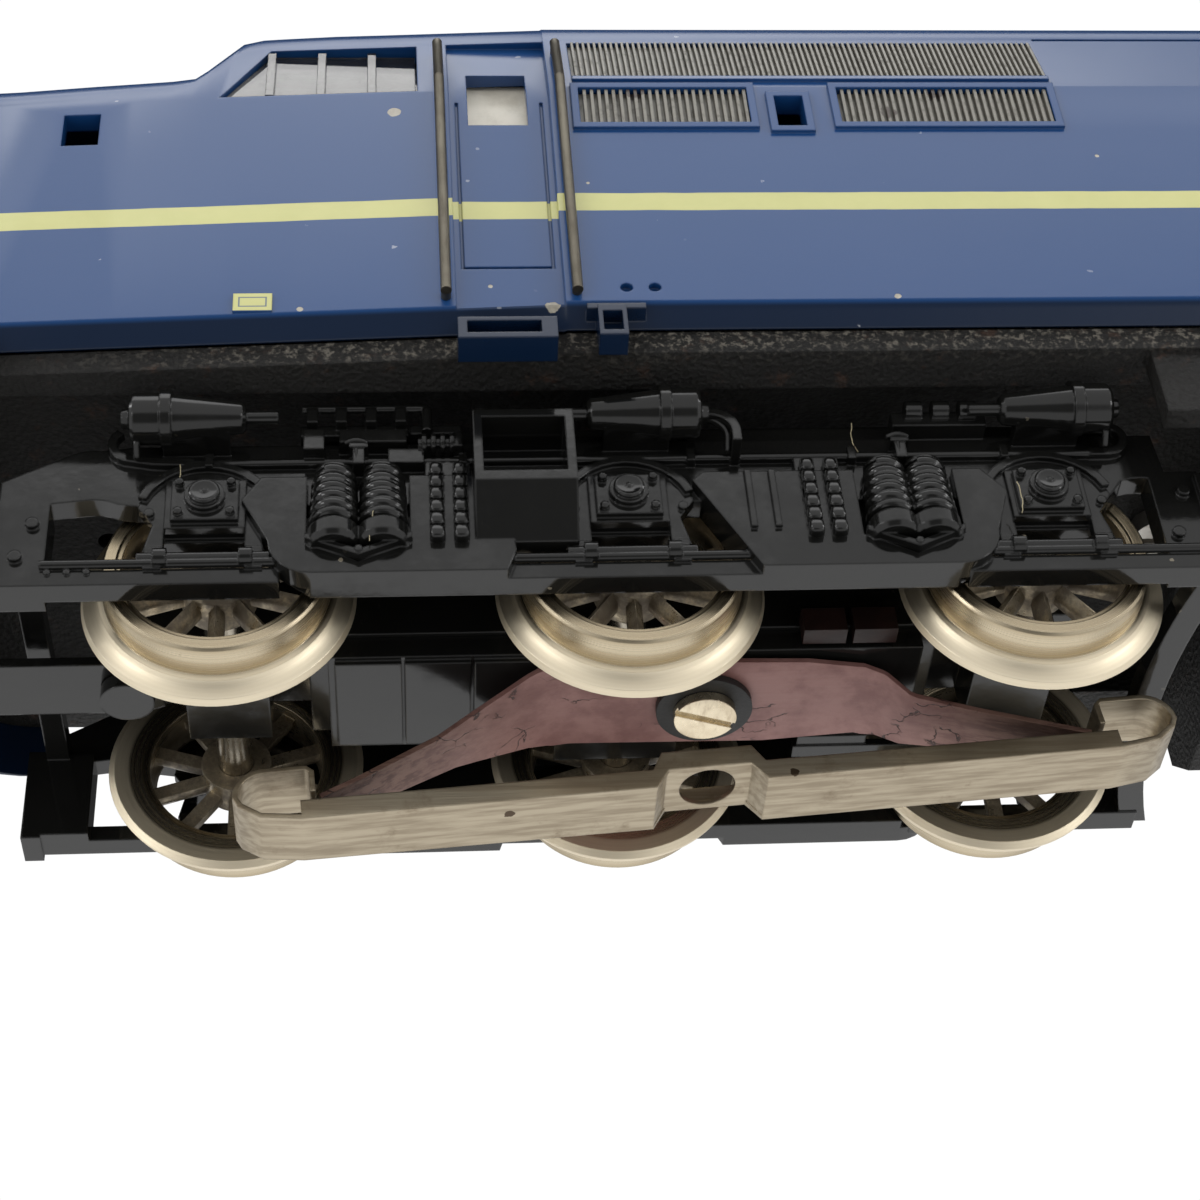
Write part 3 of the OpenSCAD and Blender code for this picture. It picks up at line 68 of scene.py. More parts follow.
class Look:
    """One node material around a Principled shader, with helpers that return output sockets."""

    def __init__(self, name, **principled):
        self.material = bpy.data.materials.new(name)
        self.material.use_nodes = True
        self.tree = self.material.node_tree
        self.tree.nodes.clear()
        self.shader = self.add("ShaderNodeBsdfPrincipled", **principled)
        self.output = self.add("ShaderNodeOutputMaterial", Surface=self.shader.outputs["BSDF"])
        self.place = self.add("ShaderNodeTexCoord").outputs["Object"]
        self.height = None

    def add(self, kind, settings=None, **inputs):
        node = self.tree.nodes.new(kind)
        for key, value in (settings or {}).items():
            setattr(node, key, value)
        for key, value in inputs.items():
            self.put(node.inputs[key.replace("_", " ")], value)
        return node

    def put(self, socket, value):
        if isinstance(value, bpy.types.NodeSocket):
            self.tree.links.new(value, socket)
        else:
            socket.default_value = value

    def math(self, operation, a, b=0.0, c=0.0, clamp=False):
        node = self.add("ShaderNodeMath", {"operation": operation, "use_clamp": clamp})
        for socket, value in zip(node.inputs, (a, b, c)):
            self.put(socket, value)
        return node.outputs[0]

    def step(self, value, low, high):
        """0 below low, 1 above high; low above high turns it round."""
        node = self.add("ShaderNodeMapRange", {"interpolation_type": "SMOOTHSTEP"})
        at_low, at_high = (1.0, 0.0) if low > high else (0.0, 1.0)
        given = (value, min(low, high), max(low, high), at_low, at_high)
        for socket, setting in zip(node.inputs, given):
            self.put(socket, setting)
        return node.outputs[0]

    def band(self, value, low, high, soft):
        """1 between low and high, 0 outside, with edges of width soft."""
        above = self.step(value, low - soft, low + soft)
        below = self.step(value, high + soft, high - soft)
        return self.math("MULTIPLY", above, below)

    def length(self, a, b):
        """Length of a flat vector with these two sides."""
        squares = self.math("ADD", self.math("MULTIPLY", a, a), self.math("MULTIPLY", b, b))
        return self.math("SQRT", squares)

    def axes(self, vector=None):
        return self.add("ShaderNodeSeparateXYZ", Vector=vector or self.place).outputs

    def stretch(self, x, y, z, vector=None):
        node = self.add("ShaderNodeVectorMath", {"operation": "MULTIPLY"})
        self.put(node.inputs[0], vector or self.place)
        self.put(node.inputs[1], (x, y, z))
        return node.outputs[0]

    def noise(self, size, detail=3.0, rough=0.55, vector=None):
        """Noise whose features are about size millimetres across."""
        return self.add(
            "ShaderNodeTexNoise",
            Vector=vector or self.place,
            Scale=1000 / size,
            Detail=detail,
            Roughness=rough,
        ).outputs["Fac"]

    def cells(self, size, feature="F1", vector=None, output="Distance", randomness=1.0):
        node = self.add("ShaderNodeTexVoronoi", {"feature": feature}, Vector=vector or self.place)
        self.put(node.inputs["Scale"], 1000 / size)
        self.put(node.inputs["Randomness"], randomness)
        return node.outputs[output]

    def mix(self, factor, a, b):
        node = self.add("ShaderNodeMix", {"data_type": "RGBA"})
        self.put(node.inputs["Factor"], factor)
        self.put(node.inputs["A"], a)
        self.put(node.inputs["B"], b)
        return node.outputs["Result"]

    def blend(self, factor, a, b):
        node = self.add("ShaderNodeMix", {"data_type": "FLOAT"})
        self.put(node.inputs["Factor"], factor)
        self.put(node.inputs["A"], a)
        self.put(node.inputs["B"], b)
        return node.outputs["Result"]

    def set(self, **inputs):
        for key, value in inputs.items():
            self.put(self.shader.inputs[key.replace("_", " ")], value)
        return self

    def bump(self, height, depth, strength=1.0, edge=0.0):
        """Bump of depth millimetres; edge rounds sharp edges over that many millimetres."""
        node = self.add("ShaderNodeBump", Strength=strength, Distance=depth * MM, Height=height)
        if edge:
            rounded = self.add("ShaderNodeBevel", {"samples": 4}, Radius=edge * MM)
            self.put(node.inputs["Normal"], rounded.outputs["Normal"])
        self.put(self.shader.inputs["Normal"], node.outputs["Normal"])
        return self


def specks(look, size, share, vector=None):
    """Mask of scattered small specks: cells of that size in millimetres, of which about share are marked."""
    reach, softness = 0.42, 0.04
    distance = look.cells(size, vector=vector)
    pick = look.cells(size, vector=vector, output="Color")
    chosen = look.step(look.axes(pick)[0], 1 - share, 1 - share + 0.01)
    ragged = look.math("ADD", distance, look.math("MULTIPLY", look.noise(size * 0.35), 0.5))
    return look.math("MULTIPLY", chosen, look.step(ragged, reach + softness, reach))


# ---------------------------------------------------------------- materials
STRIPE_LOW, STRIPE_HIGH = 25.5 * MM, 27.0 * MM
HEM_TOP = 18.0 * MM
SHOULDER = 43.5 * MM
# first and last distance from the middle, lowest and highest z, in millimetres
LABEL_PLATE = (78.0, 80.1, 18.05, 19.4)
# distance from the middle, height and radius of each chip, in millimetres
PAINT_CHIPS = [
    (71.3, 34.9, 0.42),
    (62.9, 18.1, 0.50),
    (66.2, 19.9, 0.16),
    (93.5, 24.0, 0.14),
    (76.5, 18.2, 0.20),
    (60.4, 27.9, 0.12),
    (30.5, 30.2, 0.15),
    (44.0, 18.2, 0.22),
    (12.0, 22.0, 0.18),
    (21.0, 35.0, 0.14),
]


def paint_chips(look, along, z):
    """Mask of the chips listed above and of the small ones along the hem."""
    ragged = look.math("MULTIPLY", look.math("SUBTRACT", look.noise(0.35, 4, 0.7), 0.5), 0.7 * MM)
    chips = 0.0
    for chip_x, chip_z, radius in PAINT_CHIPS:
        over_x = look.math("SUBTRACT", along, chip_x * MM)
        over_z = look.math("SUBTRACT", z, chip_z * MM)
        distance = look.length(over_x, over_z)
        edge = look.math("ADD", distance, look.math("MULTIPLY", ragged, radius))
        chips = look.math("MAXIMUM", chips, look.step(edge, radius * MM, (radius - 0.05) * MM))
    flecks = specks(look, 1.6, 0.10, vector=look.stretch(0.45, 1, 1))
    from_hem = look.math("ABSOLUTE", look.math("SUBTRACT", z, HEM_TOP))
    near_hem = look.step(from_hem, 0.24 * MM, 0.10 * MM)
    return look.math("MAXIMUM", chips, look.math("MULTIPLY", flecks, near_hem))


def label_plate(look, along, z):
    """Mask of the blank plate low on the cab side, with a plain frame line left out of it."""
    first, last, low, high = (v * MM for v in LABEL_PLATE)
    line_inset, line_width, soft = 0.28 * MM, 0.09 * MM, 0.02 * MM

    def rectangle(inset):
        across = look.band(along, first + inset, last - inset, soft)
        return look.math("MULTIPLY", across, look.band(z, low + inset, high - inset, soft))

    face = rectangle(0)
    inside = rectangle(line_inset)
    frame_line = look.math("SUBTRACT", inside, rectangle(line_inset + line_width), clamp=True)
    return look.math("SUBTRACT", face, look.math("MULTIPLY", frame_line, 0.75), clamp=True)


def blue_paint():
    """Deep blue with the pale stripe, the label plate, chips to bare metal, some dust, and painted shade on
    the hem chamfer.
    """
    look = Look("blue_paint")
    x, _, z = look.axes()
    along = look.math("ABSOLUTE", x)
    navy = look.mix(look.noise(30, 2), (0.0065, 0.044, 0.150, 1), (0.0090, 0.050, 0.164, 1))
    # Painted shade: below HEM_TOP the hem chamfer is given a much darker navy, standing in for the shade it
    # lies in.
    navy = look.mix(look.step(z, HEM_TOP, HEM_TOP - 0.25 * MM), navy, (0.0028, 0.012, 0.036, 1))
    wobble = look.math("MULTIPLY", look.math("SUBTRACT", look.noise(3, 2), 0.5), 0.12 * MM)
    line_z = look.math("ADD", z, wobble)
    stripe = look.band(line_z, STRIPE_LOW, STRIPE_HIGH, 0.03 * MM)
    cream = look.mix(look.noise(2.5, 5, 0.7), (0.42, 0.42, 0.155, 1), (0.50, 0.49, 0.20, 1))
    worn = look.step(look.noise(1.1, 5, 0.8, vector=look.stretch(0.4, 1, 1)), 0.60, 0.78)
    cream = look.mix(look.math("MULTIPLY", worn, 0.5), cream, (0.50, 0.47, 0.22, 1))
    colour = look.mix(stripe, navy, cream)
    colour = look.mix(label_plate(look, along, z), colour, cream)
    bare = look.mix(look.noise(0.3, 3), srgb(176, 170, 155), srgb(120, 115, 105))
    chips = paint_chips(look, along, z)
    colour = look.mix(chips, colour, bare)
    dust = look.math("MULTIPLY", specks(look, 0.7, 0.010), 0.4)
    colour = look.mix(dust, colour, srgb(200, 202, 206))
    look.set(Base_Color=colour, IOR=1.5)
    look.set(Roughness=look.blend(look.noise(6, 4), 0.20, 0.27))
    grain = look.math("ADD", look.math("MULTIPLY", look.noise(0.6, 3), 0.5), look.noise(4, 2))
    height = look.math("SUBTRACT", look.math("MULTIPLY", grain, 0.4), chips)
    look.bump(height, 0.03, 0.45, edge=0.14)
    return look.material


def cast_black():
    """Rough cast underframe: lumpy black with brown stains, and grey along the top of its outer sides that
    is partly wear on the ridges and partly a painted highlight.
    """
    look = Look("cast_black")
    _, y, z = look.axes()
    lumps = look.noise(0.42, 6, 0.72)
    pits = look.cells(0.35)
    black = look.mix(look.noise(6, 4), (0.0045, 0.0042, 0.004, 1), (0.011, 0.010, 0.008, 1))
    rust = look.step(look.noise(2.0, 6, 0.75), 0.56, 0.70)
    colour = look.mix(look.math("MULTIPLY", rust, 0.6), black, (0.060, 0.027, 0.014, 1))
    ridge = look.step(lumps, 0.50, 0.62)
    upper = look.step(z, 14.9 * MM, 15.9 * MM)
    outer = look.step(look.math("ABSOLUTE", y), 15.0 * MM, 16.0 * MM)
    # Partly wear, partly painted highlight: grey worn metal on the ridges, kept to the top of the outer side
    # so that the top reads lighter, as if lit.
    worn = look.math("MULTIPLY", ridge, look.math("MULTIPLY", upper, outer))
    colour = look.mix(worn, colour, (0.17, 0.155, 0.13, 1))
    look.set(Base_Color=colour, Metallic=look.math("MULTIPLY", worn, 0.6), IOR=1.38)
    look.set(Roughness=look.blend(look.noise(1.2, 4), 0.34, 0.6))
    height = look.math("ADD", lumps, look.math("MULTIPLY", pits, 0.5))
    look.bump(height, 0.30, 1.0, edge=0.3)
    return look.material


def moulded_black(name, rough=0.11, dust=0.12, tone=0.0045):
    """Glossy black moulding with faint sink marks, dust in patches and a little lint."""
    look = Look(name)
    dark = (tone, tone, tone, 1)
    paler = (tone * 2, tone * 2, tone * 1.8, 1)
    colour = look.mix(look.noise(5, 4), dark, paler)
    dusty = look.step(look.noise(0.4, 5, 0.8), 0.62, 0.78)
    patches = look.step(look.noise(7, 3), 0.48, 0.66)
    dusty = look.math("MULTIPLY", look.math("MULTIPLY", dusty, patches), dust)
    colour = look.mix(dusty, colour, srgb(120, 116, 104))
    fluff = look.math("MULTIPLY", specks(look, 0.6, 0.010), 0.6)
    colour = look.mix(fluff, colour, srgb(130, 122, 106))
    look.set(Base_Color=colour, IOR=1.5)
    smears = look.step(look.noise(2.2, 5, 0.65), 0.45, 0.75)
    shine = look.blend(smears, rough * 0.8, rough * 1.8)
    look.set(Roughness=look.math("ADD", shine, look.math("MULTIPLY", dusty, 0.6)))
    height = look.math("ADD", look.math("MULTIPLY", look.noise(0.5, 3), 0.3), look.noise(2.4, 2))
    look.bump(height, 0.02, 0.5, edge=0.16)
    return look.material


def bare_metal(name, bright, dull, rough=0.3, grain=(0.15, 1, 1), size=0.4):
    """Rolled or drawn metal with grain lines along the axis whose stretch is small."""
    tarnish = 0.5
    look = Look(name, Metallic=1.0)
    lines = look.noise(size, 5, 0.7, vector=look.stretch(*grain))
    clouds = look.noise(4, 5, 0.65)
    colour = look.mix(look.math("MULTIPLY", look.step(clouds, 0.38, 0.68), tarnish), bright, dull)
    colour = look.mix(look.math("MULTIPLY", look.step(lines, 0.50, 0.72), tarnish), colour, dull)
    look.set(Base_Color=colour)
    look.set(Roughness=look.blend(lines, rough * 0.7, rough * 1.5))
    look.bump(lines, 0.012, 0.6, edge=0.08)
    return look.material


def shoe_nickel():
    """Yellowish nickel silver with long rub marks, brown stains and a few dark pits."""
    look = Look("shoe_nickel")
    streak = look.noise(0.45, 4, 0.6, vector=look.stretch(0.05, 1, 1))
    fine = look.noise(0.12, 3, 0.6, vector=look.stretch(0.03, 1, 1))
    clouds = look.noise(2.6, 6, 0.7)
    bright = (0.42, 0.360, 0.265, 1)
    dull = (0.29, 0.240, 0.170, 1)
    brown = (0.16, 0.115, 0.070, 1)
    colour = look.mix(look.step(streak, 0.36, 0.66), bright, dull)
    stain = look.step(clouds, 0.54, 0.74)
    colour = look.mix(look.math("MULTIPLY", stain, 0.55), colour, brown)
    colour = look.mix(specks(look, 1.4, 0.05), colour, (0.08, 0.055, 0.035, 1))
    look.set(Base_Color=colour, Metallic=0.94)
    look.set(Roughness=look.blend(look.math("MAXIMUM", streak, stain), 0.24, 0.48))
    height = look.math("ADD", look.math("MULTIPLY", streak, 0.6), look.math("MULTIPLY", fine, 0.5))
    look.bump(height, 0.015, 0.6, edge=0.14)
    return look.material


def spring_copper():
    """Purple-brown film over copper, cracked in places and worn to dull metal towards the ends."""
    look = Look("spring_copper")
    x = look.axes()[0]
    grain = look.noise(0.5, 6, 0.7, vector=look.stretch(0.06, 1, 1))
    clouds = look.noise(3, 5, 0.65)
    film = look.mix(look.step(clouds, 0.35, 0.65), (0.175, 0.078, 0.070, 1), (0.260, 0.135, 0.120, 1))
    from_screw = look.math("ABSOLUTE", look.math("SUBTRACT", x, 4.4 * MM - BOGIE_X))
    tip = look.step(from_screw, 9 * MM, 18 * MM)
    bare = look.mix(look.step(grain, 0.45, 0.6), (0.170, 0.105, 0.078, 1), (0.080, 0.046, 0.034, 1))
    colour = look.mix(look.math("MULTIPLY", tip, 0.8), film, bare)
    warp = look.add("ShaderNodeTexNoise", Vector=look.place, Scale=500, Detail=5)
    moved = look.add("ShaderNodeVectorMath", {"operation": "MULTIPLY_ADD"})
    look.put(moved.inputs[0], warp.outputs["Color"])
    look.put(moved.inputs[1], (2.4 * MM,) * 3)
    look.put(moved.inputs[2], look.stretch(0.42, 1, 1))
    cracks = look.step(look.cells(1.5, "DISTANCE_TO_EDGE", moved.outputs[0]), 0.030, 0.008)
    where = look.step(look.noise(3.6, 3), 0.55, 0.62)
    cracks = look.math("MULTIPLY", cracks, where)
    colour = look.mix(look.math("MULTIPLY", cracks, 0.85), colour, (0.016, 0.009, 0.008, 1))
    scuffs = look.math("MULTIPLY", look.step(look.noise(0.9, 6, 0.8), 0.60, 0.72), 0.35)
    colour = look.mix(scuffs, colour, (0.075, 0.035, 0.030, 1))
    look.set(Base_Color=colour, Metallic=look.blend(tip, 0.25, 0.6))
    look.set(Roughness=look.blend(grain, 0.32, 0.52))
    height = look.math("SUBTRACT", grain, look.math("MULTIPLY", cracks, 1.5))
    look.bump(height, 0.03, 0.8, edge=0.06)
    return look.material


def turned_wheel(name, axle_x, axle_z=6 * MM):
    """Nickelled wheel with turning grooves round its own axle, grime between the spokes, and a painted
    highlight on the flange.
    """
    look = Look(name, Metallic=1.0)
    x, y, z = look.axes()
    across = look.math("SUBTRACT", x, axle_x)
    up = look.math("SUBTRACT", z, axle_z)
    radius = look.length(across, up)
    ring_place = look.add("ShaderNodeCombineXYZ", X=radius, Y=y, Z=0.0).outputs[0]
    rings = look.noise(0.13, 2, 0.6, vector=ring_place)
    broad = look.noise(0.8, 2, 0.5, vector=ring_place)
    clouds = look.noise(1.8, 5, 0.7)
    bright = (0.54, 0.465, 0.335, 1)
    warm = (0.43, 0.355, 0.240, 1)
    colour = look.mix(look.step(broad, 0.38, 0.66), bright, warm)
    grooves = look.math("MULTIPLY", look.step(rings, 0.56, 0.76), 0.25)
    colour = look.mix(grooves, colour, (0.34, 0.28, 0.19, 1))
    inner = look.step(radius, 5.1 * MM, 4.6 * MM)
    grime = look.math("MULTIPLY", inner, look.step(clouds, 0.28, 0.60))
    colour = look.mix(look.math("MULTIPLY", grime, 0.85), colour, (0.055, 0.040, 0.026, 1))
    spots = look.math("MULTIPLY", look.step(look.noise(0.7, 4, 0.7), 0.66, 0.76), 0.4)
    colour = look.mix(spots, colour, (0.24, 0.19, 0.12, 1))
    # Painted highlight: the flange gets a far paler colour than the same nickel of the rest of the wheel,
    # standing in for a bright reflection.
    flange_painted_highlight = look.step(radius, 6.0 * MM, 6.25 * MM)
    colour = look.mix(flange_painted_highlight, colour, look.mix(rings, (0.93, 0.83, 0.64, 1), (0.78, 0.68, 0.50, 1)))
    look.set(Base_Color=colour, Metallic=look.blend(grime, 1.0, 0.35))
    polish = look.blend(look.math("MAXIMUM", look.math("MULTIPLY", rings, 0.6), grime), 0.18, 0.50)
    look.set(Roughness=look.math("ADD", polish, look.math("MULTIPLY", flange_painted_highlight, 0.16)))
    look.bump(rings, 0.010, 0.5, edge=0.08)
    return look.material


def grille_olive():
    """Grey-olive louvres with dirt in the slots; the ones set in the side wall are painted darker as shade.
    """
    look = Look("grille_olive")
    light = look.mix(look.noise(5, 3), (0.42, 0.395, 0.325, 1), (0.53, 0.50, 0.42, 1))
    dirty = look.step(look.noise(0.7, 5, 0.7), 0.50, 0.70)
    colour = look.mix(look.math("MULTIPLY", dirty, 0.5), light, (0.12, 0.105, 0.080, 1))
    colour = look.mix(specks(look, 3.0, 0.12), colour, (0.12, 0.085, 0.06, 1))
    # Painted shade: the grilles below the shoulder, set in the side wall, are darkened towards black.
    in_wall_painted_shade = look.step(look.axes()[2], SHOULDER, SHOULDER - 0.3 * MM)
    colour = look.mix(look.math("MULTIPLY", in_wall_painted_shade, 0.66), colour, (0.020, 0.020, 0.020, 1))
    look.set(Base_Color=colour)
    look.set(Roughness=look.blend(dirty, 0.34, 0.6))
    look.bump(look.noise(0.4, 4), 0.03, 0.5, edge=0.06)
    return look.material


def clear_plastic(name, tint, haze_z=None):
    """Old clear plastic with scratches and dust, hazier below the middle of haze_z (two heights in mm)."""
    look = Look(name, IOR=1.49, Transmission_Weight=1.0)
    haze_colour = (0.11, 0.107, 0.10, 1)
    rough = 0.05
    smears = look.step(look.noise(2.5, 5, 0.7), 0.45, 0.75)
    scratches = look.step(look.noise(0.35, 4, 0.8, vector=look.stretch(1, 1, 0.12)), 0.64, 0.72)
    cloudy = look.math("MULTIPLY", smears, 0.10)
    if haze_z:
        low = look.step(look.axes()[2], haze_z[1] * MM, haze_z[0] * MM)
        cloudy = look.math("ADD", cloudy, low, clamp=True)
    look.set(Base_Color=look.mix(cloudy, tint, haze_colour))
    look.set(Roughness=look.math("ADD", look.math("MULTIPLY", smears, 0.12), rough))
    clear = look.blend(cloudy, 0.97, 0.25)
    clear = look.math("SUBTRACT", clear, look.math("MULTIPLY", scratches, 0.2), clamp=True)
    look.set(Transmission_Weight=clear)
    look.bump(look.noise(3, 2), 0.02, 0.4, edge=0.1)
    return look.material


def satin(name, light, dark, size=3.0, rough=0.45, metallic=0.0, depth=0.02):
    """Plain small part: two close tones in clouds and fine grain."""
    look = Look(name, Metallic=metallic)
    clouds = look.noise(size, 5, 0.65)
    fine = look.noise(size * 0.15, 4, 0.7)
    colour = look.mix(look.step(clouds, 0.35, 0.65), light, dark)
    colour = look.mix(look.math("MULTIPLY", look.step(fine, 0.58, 0.75), 0.35), colour, dark)
    look.set(Base_Color=colour, Roughness=look.blend(fine, rough * 0.75, rough * 1.3))
    look.bump(fine, depth, 0.6, edge=0.08)
    return look.material


def board_green():
    """Green circuit board with a woven texture and copper tracks."""
    look = Look("board_green")
    x, y, _ = look.axes()
    threads = 2 * math.pi / (0.5 * MM)
    along = look.math("SINE", look.math("MULTIPLY", x, threads))
    across = look.math("SINE", look.math("MULTIPLY", y, threads))
    weave = look.math("MULTIPLY", along, across)
    flat = look.stretch(1, 1, 0)
    tracks = look.step(look.cells(4.0, "DISTANCE_TO_EDGE", flat, randomness=0.6), 0.10, 0.08)
    base = look.mix(look.noise(4, 3), (0.035, 0.11, 0.045, 1), (0.05, 0.16, 0.06, 1))
    colour = look.mix(tracks, base, (0.42, 0.22, 0.10, 1))
    look.set(Base_Color=colour, Roughness=look.blend(tracks, 0.42, 0.3))
    look.set(Metallic=look.math("MULTIPLY", tracks, 0.8))
    look.bump(look.math("ADD", look.math("MULTIPLY", weave, 0.1), tracks), 0.03, 0.6, edge=0.08)
    return look.material


def armature_iron():
    """Laminated iron along the shaft, with the copper windings between the poles."""
    look = Look("armature_iron", Metallic=1.0)
    y = look.axes()[1]
    sheets = look.math("SINE", look.math("MULTIPLY", y, 2 * math.pi / (0.5 * MM)))
    ends = look.step(look.noise(0.5, 3, 0.6, vector=look.stretch(1, 0.2, 1)), 0.5, 0.6)
    colour = look.mix(ends, (0.32, 0.31, 0.30, 1), (0.45, 0.20, 0.09, 1))
    look.set(Base_Color=colour, Roughness=look.blend(look.noise(1, 4), 0.3, 0.5))
    look.bump(sheets, 0.04, 0.5, edge=0.08)
    return look.material


def grey(value):
    return (value, value, value * 0.98, 1)


STEEL_BRIGHT, STEEL_DULL = (0.56, 0.54, 0.50, 1), (0.24, 0.21, 0.17, 1)

MATERIALS = {
    "blue_paint": blue_paint(),
    "cast_black": cast_black(),
    "clear_glazing": clear_plastic("clear_glazing", (0.30, 0.295, 0.285, 1), haze_z=(36.5, 42.0)),
    "lens_clear": clear_plastic("lens_clear", (0.97, 0.97, 0.93, 1)),
    "bulb_glass": clear_plastic("bulb_glass", (0.98, 0.96, 0.90, 1)),
    "blind_grey": satin("blind_grey", (0.74, 0.70, 0.60, 1), (0.58, 0.54, 0.45, 1), rough=0.3),
    "grille_olive": grille_olive(),
    "rail_wire": bare_metal(
        "rail_wire", (0.165, 0.150, 0.120, 1), (0.070, 0.060, 0.045, 1), 0.34, grain=(1, 1, 0.15)
    ),
    "roof_black": moulded_black("roof_black", 0.35, 0.4),
    "plain_steel": bare_metal("plain_steel", STEEL_BRIGHT, STEEL_DULL, 0.3),
    "weight_lead": satin(
        "weight_lead", (0.20, 0.20, 0.20, 1), (0.12, 0.12, 0.12, 1), 5, 0.5, metallic=0.6, depth=0.08
    ),
    "board_green": board_green(),
    "relay_plastic": satin("relay_plastic", (0.62, 0.55, 0.38, 1), (0.50, 0.42, 0.27, 1), 4, 0.4),
    "wire_red": satin("wire_red", (0.42, 0.03, 0.02, 1), (0.30, 0.02, 0.015, 1), 3, 0.35),
    "bogie_black": moulded_black("bogie_black"),
    "gearbox_black": moulded_black("gearbox_black", 0.16, 0.30, tone=0.006),
    "buffer_black": moulded_black("buffer_black", 0.25, 0.3),
    "shoe_nickel": shoe_nickel(),
    "spring_copper": spring_copper(),
    "fibre_black": satin("fibre_black", grey(0.012), grey(0.006), 1.5, 0.5, 0, 0.04),
    "block_brown": satin("block_brown", (0.024, 0.011, 0.009, 1), (0.014, 0.007, 0.006, 1), 2, 0.3),
    "magnet_grey": satin("magnet_grey", grey(0.10), grey(0.06), 2, 0.55, 0.3),
    "armature_iron": armature_iron(),
    "shield_brown": satin("shield_brown", (0.13, 0.055, 0.025, 1), (0.09, 0.035, 0.018, 1), 3, 0.4),
    "brush_brass": bare_metal("brush_brass", (0.70, 0.52, 0.22, 1), (0.40, 0.26, 0.10, 1), 0.3),
    "brush_carbon": satin("brush_carbon", grey(0.03), grey(0.015), 1, 0.6),
    "gear_steel": bare_metal("gear_steel", (0.55, 0.50, 0.40, 1), (0.20, 0.15, 0.09, 1), 0.34),
    "lint": satin("lint", (0.42, 0.36, 0.22, 1), (0.30, 0.26, 0.16, 1), 1, 0.7),
    "tyre_rubber": satin("tyre_rubber", grey(0.02), grey(0.012), 1, 0.7),
    "screw_nickel": bare_metal(
        "screw_nickel", (0.80, 0.70, 0.52, 1), (0.40, 0.31, 0.20, 1), 0.26, grain=(1, 0.3, 1), size=0.5
    ),
    "axle_steel": bare_metal(
        "axle_steel", (0.50, 0.46, 0.38, 1), (0.16, 0.12, 0.08, 1), 0.24, grain=(1, 0.2, 1), size=0.6
    ),
}
FINISH = {
    "body_shell": "blue_paint",
    "chassis_frame": "cast_black",
    "front_cab_glazing": "clear_glazing",
    "rear_cab_glazing": "clear_glazing",
    "door_panes": "blind_grey",
    "upper_grilles": "grille_olive",
    "lower_grilles": "grille_olive",
    "handrails": "rail_wire",
    "roof_fans": "roof_black",
    "exhaust_stacks": "roof_black",
    "headlight_lenses": "lens_clear",
    "lamp_bulbs": "bulb_glass",
    "lamp_brackets": "plain_steel",
    "buffers": "buffer_black",
    "body_screws": "plain_steel",
    "ballast_weight": "weight_lead",
    "circuit_board": "board_green",
    "reversing_relay": "relay_plastic",
    "lamp_wires": "wire_red",
    "motor_bridge": "plain_steel",
    "front_bogie_block": "gearbox_black",
    "front_keeper_plate": "gearbox_black",
    "front_sideframes": "bogie_black",
    "rear_sideframes": "bogie_black",
    "front_pivot_screw": "plain_steel",
    "rear_pivot_screw": "plain_steel",
    "insulating_blocks": "block_brown",
    "pickup_spring": "spring_copper",
    "pickup_washer": "fibre_black",
    "pickup_screw": "screw_nickel",
    "pickup_shoe": "shoe_nickel",
    "front_coupler_arm": "bogie_black",
    "rear_coupler_arm": "bogie_black",
    "front_coupler_loop": "plain_steel",
    "rear_coupler_loop": "plain_steel",
    "motor_frame": "gearbox_black",
    "field_magnet": "magnet_grey",
    "armature": "armature_iron",
    "motor_shield": "shield_brown",
    "carbon_brushes": "brush_carbon",
    "brush_tubes": "brush_brass",
    "gear_pins": "plain_steel",
    "transfer_gear": "gear_steel",
    "idler_gear_1": "gear_steel",
    "idler_gear_2": "gear_steel",
    "traction_tyres_1": "tyre_rubber",
    "traction_tyres_3": "tyre_rubber",
}


def paint(obj, material):
    obj.data.materials.clear()
    obj.data.materials.append(material)


for name, finish in FINISH.items():
    paint(nodes[name], MATERIALS[finish])
for end in ("front", "rear"):
    for k in (1, 2, 3):
        axle = f"{end}_axles_{k}"
        low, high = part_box(axle)
        paint(nodes[axle], MATERIALS["axle_steel"])
        paint(nodes[f"{end}_wheels_{k}"], turned_wheel(f"wheel_nickel_{end}_{k}", (low.x + high.x) / 2))


